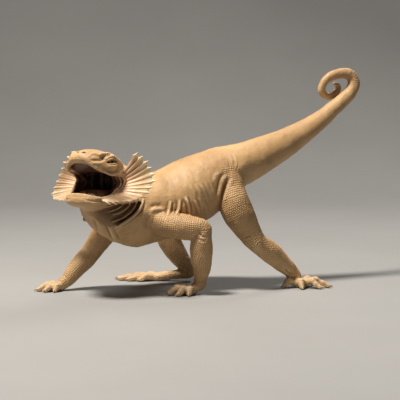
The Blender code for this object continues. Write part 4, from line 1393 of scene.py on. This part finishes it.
def make_toe_fringe(name, sizes):
    """The comb of pointed scales along both edges of every toe."""
    rng = random.Random(len(name))
    rows = []
    for base, knuckle, tip, along in toe_lines(**sizes):
        count = max(8, round((tip - base).length / COMB_SPACING))
        samples = curve_through(toe_rows(base, knuckle, tip), count)
        side = along.cross(UP)
        for sample in samples[len(samples) // 3:-1]:
            for turn in (1, -1):
                start = Vector(sample[:3]) + side * (turn * sample[3] * COMB_START) - UP * 0.5
                start.z = max(start.z, 0.3)
                point = start + side * turn * 0.5 + along * 0.45 - UP * 0.2
                point.z = max(point.z, 0.2)
                rows.append((start, start.lerp(point, rng.uniform(*COMB_LENGTHS)), COMB_RADIUS))
    return make_cones(name, rows)


class Paint:
    """Builds one material from nodes."""

    def __init__(self, name):
        self.material = bpy.data.materials.new(name)
        self.material.use_nodes = True
        self.tree = self.material.node_tree
        self.shader = self.tree.nodes["Principled BSDF"]
        self.place = self.node("TexCoord").outputs["Object"]

    def feed(self, socket, value):
        """Links a node's output to a socket, or sets the socket to a number or a colour."""
        if isinstance(value, bpy.types.NodeSocket):
            self.tree.links.new(value, socket)
        else:
            socket.default_value = (*value, 1) if isinstance(value, tuple) else value

    def node(self, kind, **inputs):
        """A new node with its inputs fed; their names have _ in place of each space."""
        node = self.tree.nodes.new("ShaderNode" + kind)
        for name, value in inputs.items():
            self.feed(node.inputs[name.replace("_", " ")], value)
        return node

    def attribute(self, name):
        node = self.node("Attribute")
        node.attribute_name = name
        return node.outputs["Fac"]

    def noise(self, scale, detail):
        node = self.node("TexNoise", Scale=scale, Detail=detail, Roughness=0.55, Vector=self.place)
        return node.outputs["Fac"]

    def cells(self, scale):
        return self.node("TexVoronoi", Scale=scale, Vector=self.place).outputs["Distance"]

    def span(self, value, low, high, to_low=0.0, to_high=1.0):
        """value with the span from low to high turned into that from to_low to to_high."""
        node = self.node("MapRange", Value=value, From_Min=low, From_Max=high, To_Min=to_low, To_Max=to_high)
        return node.outputs["Result"]

    def maths(self, operation, first, second):
        node = self.node("Math")
        node.operation = operation
        for socket, value in zip(node.inputs, (first, second)):
            self.feed(socket, value)
        return node.outputs[0]

    def plus(self, first, second, share):
        """The first value and a share of the second."""
        return self.maths("ADD", first, self.maths("MULTIPLY", second, share))

    def mix(self, share, first, second):
        """A colour between first and second."""
        node = self.node("Mix")
        node.data_type = "RGBA"
        self.feed(node.inputs["Factor"], share)
        for socket, value in zip([s for s in node.inputs if s.type == "RGBA"], (first, second)):
            self.feed(socket, value)
        return [s for s in node.outputs if s.type == "RGBA"][0]

    def speckle(self, scale, detail, first, second, low=0.35, high=0.65):
        """A colour that goes from first to second in soft spots."""
        return self.mix(self.span(self.noise(scale, detail), low, high), first, second)

    def tint(self, base, name, low, high, most, colour):
        """base with colour over it, by up to a share of most as an attribute goes from low to high."""
        return self.mix(self.span(self.attribute(name), low, high, 0, most), base, colour)

    def ramp(self, value, stops):
        node = self.node("ValToRGB", Fac=value)
        elements = node.color_ramp.elements
        while len(elements) < len(stops):
            elements.new(0.5)
        for element, (place, colour) in zip(elements, stops):
            element.position = place
            element.color = (*colour, 1)
        return node.outputs["Color"]

    def bump(self, height, distance, strength):
        node = self.node("Bump", Height=height, Distance=distance * MM, Strength=strength)
        self.feed(self.shader.inputs["Normal"], node.outputs["Normal"])

    def finished(self, colour, rough, **inputs):
        """The material with its colour, its roughness and further inputs of the shader set."""
        for name, value in dict(Base_Color=colour, Roughness=rough, **inputs).items():
            self.feed(self.shader.inputs[name.replace("_", " ")], value)
        return self.material


SAND = (0.40, 0.235, 0.105)
SAND_LIGHT = (0.62, 0.40, 0.19)
SAND_DEEP = (0.33, 0.175, 0.07)
# Painted shade for the grooves between the scales, the creases and the throat's pouch
CREVICE_SHADE = (0.10, 0.045, 0.016)
# A pale colour of the skin, and also the painted highlight on ridges
CREAM_AND_HIGHLIGHT = (0.80, 0.63, 0.42)
BLUSH = (0.66, 0.39, 0.26)
# Painted shade inside the mouth, the nostrils and the corners of the mouth
LINING_SHADE = (0.05, 0.02, 0.013)
LINING_SHADE_PALE = (0.125, 0.058, 0.034)


def skin_material():
    paint = Paint("agama_skin")
    base = paint.speckle(42, 3, SAND, SAND_LIGHT)
    base = paint.mix(paint.span(paint.noise(95, 5), 0.52, 0.72, 0, 0.35), base, SAND_DEEP)
    base = paint.tint(base, "tone", 0, 1, 0.22, SAND_LIGHT)
    # Painted shade in the grooves between the scales, stronger on the limbs
    strength = paint.span(paint.attribute("limb"), 0, 1, 0.28, 0.56)
    groove = paint.maths("MULTIPLY", paint.span(paint.attribute("groove"), 0.2, 1), strength)
    base = paint.mix(groove, base, CREVICE_SHADE)
    base = paint.tint(base, "hand", 0, 1, 0.2, CREAM_AND_HIGHLIGHT)
    # Painted shade in the throat's pouch, under the cheek flap
    base = paint.tint(base, "pouch", 0, 1, 0.72, CREVICE_SHADE)
    # Painted shade in the creases at the corners of the mouth
    base = paint.tint(base, "corner", 0, 1, 0.6, LINING_SHADE_PALE)
    # Painted shade in the creases and painted highlight on the ridges
    base = paint.tint(base, "crease", 0.02, 0.22, 0.8, CREVICE_SHADE)
    base = paint.tint(base, "crease", -0.03, -0.26, 0.42, CREAM_AND_HIGHLIGHT)
    # Painted shade inside the mouth and the nostrils
    mouth = paint.attribute("mouth")
    base = paint.mix(mouth, base, paint.speckle(300, 4, LINING_SHADE, LINING_SHADE_PALE, 0.3, 0.7))
    grain = paint.maths("MULTIPLY", paint.cells(1500), 0.8)
    paint.bump(paint.plus(grain, paint.noise(2600, 3), 0.4), 0.09, 0.6)
    rough = paint.plus(paint.span(paint.noise(500, 4), 0.3, 0.7, 0.44, 0.58), mouth, -0.12)
    return paint.finished(base, rough, Specular_IOR_Level=0.42)


def flap_material():
    paint = Paint("agama_flap")
    base = paint.speckle(120, 4, SAND_LIGHT, CREAM_AND_HIGHLIGHT)
    base = paint.tint(base, "blush", 0, 0.8, 0.7, BLUSH)
    # Painted shade in the pleats' creases and painted highlight on their ridges
    base = paint.tint(base, "crease", 0.02, 0.2, 0.6, CREVICE_SHADE)
    base = paint.tint(base, "crease", -0.02, -0.2, 0.6, CREAM_AND_HIGHLIGHT)
    grain = paint.maths("MULTIPLY", paint.cells(1000), -0.9)
    paint.bump(paint.plus(grain, paint.noise(2600, 3), 0.3), 0.12, 0.6)
    rough = paint.span(paint.noise(500, 4), 0.3, 0.7, 0.42, 0.56)
    return paint.finished(base, rough, Specular_IOR_Level=0.42)


def tongue_material():
    paint = Paint("agama_tongue")
    base = paint.speckle(260, 5, (0.26, 0.12, 0.07), (0.40, 0.21, 0.13))
    paint.bump(paint.maths("ADD", paint.cells(2200), paint.noise(1800, 3)), 0.12, 0.5)
    return paint.finished(base, 0.34)


def eye_material():
    """Dark pupil, golden iris with faint streaks, and a dark rim, under a wet coat."""
    paint = Paint("agama_eye")
    gaze = paint.plus(paint.span(paint.attribute("gaze"), 0, 90), paint.noise(2400, 4), 0.05)
    base = paint.ramp(gaze, (
        (0.0, (0.004, 0.003, 0.003)), (0.165, (0.005, 0.004, 0.003)), (0.19, (0.20, 0.10, 0.035)),
        (0.30, (0.27, 0.15, 0.055)), (0.40, (0.09, 0.045, 0.02)), (0.5, (0.04, 0.022, 0.014)),
    ))
    return paint.finished(base, 0.18, Coat_Weight=1.0, Coat_Roughness=0.04)


def claw_material():
    paint = Paint("agama_claw")
    base = paint.speckle(700, 4, (0.34, 0.21, 0.10), (0.50, 0.34, 0.18))
    paint.bump(paint.noise(3000, 3), 0.04, 0.5)
    return paint.finished(base, 0.32)


def floor_material():
    paint = Paint("studio_floor")
    return paint.finished(paint.speckle(9, 3, (0.28, 0.277, 0.271), (0.30, 0.297, 0.29), 0.3, 0.7), 0.75)


# Floor and backdrop in metres: where the floor starts and starts to curve up, the radius of that curve,
# the backdrop's height, and half the width
FLOOR_START = -1.2
CURVE_START = 0.45
CURVE_RADIUS = 0.5
BACKDROP_HEIGHT = 2.2
FLOOR_HALF_WIDTH = 1.8

# Lights: metres to the right of the target, towards the camera and up, then size, power and colour
LIGHTS = {
    "key_light": (-0.24, 0.17, 0.68, 0.16, 10.8, (1, 0.94, 0.86)),
    "fill_light": (0.5, 0.6, 0.2, 0.5, 0.14, (0.92, 0.96, 1)),
    "rim_light": (0.25, -0.45, 0.45, 0.3, 1.6, (1, 0.97, 0.92)),
}


def make_floor(shift):
    """A floor that curves up into a backdrop behind the animal."""
    back, right, _ = camera_axes()
    away = Vector((-back.x, -back.y, 0)).normalized()
    profile = [(FLOOR_START, 0.0), (CURVE_START, 0.0)]
    for turn in range(6, 91, 6):
        angle = math.radians(turn)
        profile.append((CURVE_START + CURVE_RADIUS * math.sin(angle), CURVE_RADIUS * (1 - math.cos(angle))))
    profile.append((CURVE_START + CURVE_RADIUS, BACKDROP_HEIGHT))
    mesh = bmesh.new()
    lines = []
    for offset in (-FLOOR_HALF_WIDTH, -FLOOR_HALF_WIDTH / 3, FLOOR_HALF_WIDTH / 3, FLOOR_HALF_WIDTH):
        start = right * offset + Vector((shift.x, shift.y, 0))
        lines.append([mesh.verts.new(start + away * far + UP * high) for far, high in profile])
    for first, second in zip(lines, lines[1:]):
        for i in range(len(profile) - 1):
            mesh.faces.new((first[i], second[i], second[i + 1], first[i + 1]))
    floor = object_from("studio_floor", mesh, turned=True)
    floor.data.materials.append(floor_material())
    floor.data.shade_smooth()


def make_camera(target, back):
    camera = bpy.data.cameras.new("camera")
    camera.lens = VIEW_LENS
    camera.sensor_width = SENSOR_WIDTH
    camera.clip_start = 0.01
    holder = new_object("camera", camera)
    holder.location = target + back * VIEW_DISTANCE * MM
    holder.rotation_euler = back.to_track_quat("Z", "Y").to_euler()
    bpy.context.scene.camera = holder


def make_studio(shift):
    """Camera, lights and a dim, slightly blue surround."""
    back, right, _ = camera_axes()
    target = VIEW_TARGET * MM + shift
    make_camera(target, back)
    front = Vector((back.x, back.y, 0)).normalized()
    for name, (rightward, forward, upward, size, power, colour) in LIGHTS.items():
        data = bpy.data.lights.new(name, "AREA")
        data.shape = "DISK"
        data.size = size
        data.energy = power
        data.color = colour
        light = new_object(name, data)
        light.location = target + right * rightward + front * forward + UP * upward
        light.rotation_euler = (light.location - target).to_track_quat("Z", "Y").to_euler()
        light.visible_glossy = name != "fill_light"
    bpy.context.scene.view_settings.view_transform = "Standard"
    world = bpy.data.worlds.new("studio")
    bpy.context.scene.world = world
    world.use_nodes = True
    background = world.node_tree.nodes["Background"]
    background.inputs["Color"].default_value = (0.92, 0.94, 1.0, 1)
    background.inputs["Strength"].default_value = 0.05


def finish_piece(piece, shift, material, slot, *nodes):
    piece.data.transform(Matrix.Translation(shift))
    piece.data.materials.clear()
    piece.data.materials.append(material)
    piece.data.shade_smooth()
    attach(piece, "root")
    if nodes:
        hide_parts(*nodes)


def make_pieces(shift):
    skin_paint = skin_material()
    finish_piece(make_skin(), shift, skin_paint, "skin", *FLESH)
    flap_paint = flap_material()
    for name, side, rim in (("cheek_flap_left", 1, FLAP_RIM_LEFT), ("cheek_flap_right", -1, FLAP_RIM_RIGHT)):
        finish_piece(make_flap(name + "_skin", side, rim), shift, flap_paint, "flap", name)
    eye_paint = eye_material()
    for name, side in (("left", 1), ("right", -1)):
        finish_piece(make_eye("eyeball_" + name, side), shift, eye_paint, "eye", "eye_" + name)
        finish_piece(make_lids("eyelids_" + name, side), shift, skin_paint, "skin")
    finish_piece(make_tongue(), shift, tongue_material(), "mouth_lining", "tongue")
    claw_paint = claw_material()
    for name, sizes in HANDS.items():
        finish_piece(make_toe_fringe("toe_fringe_" + name, sizes), shift, skin_paint, "skin")
        finish_piece(make_claws("claws_" + name, sizes), shift, claw_paint, "skin")


low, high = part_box("eye_left")
shift = (low + high) / 2 - eye_centre(1) * MM
make_pieces(shift)
make_floor(shift)
make_studio(shift)
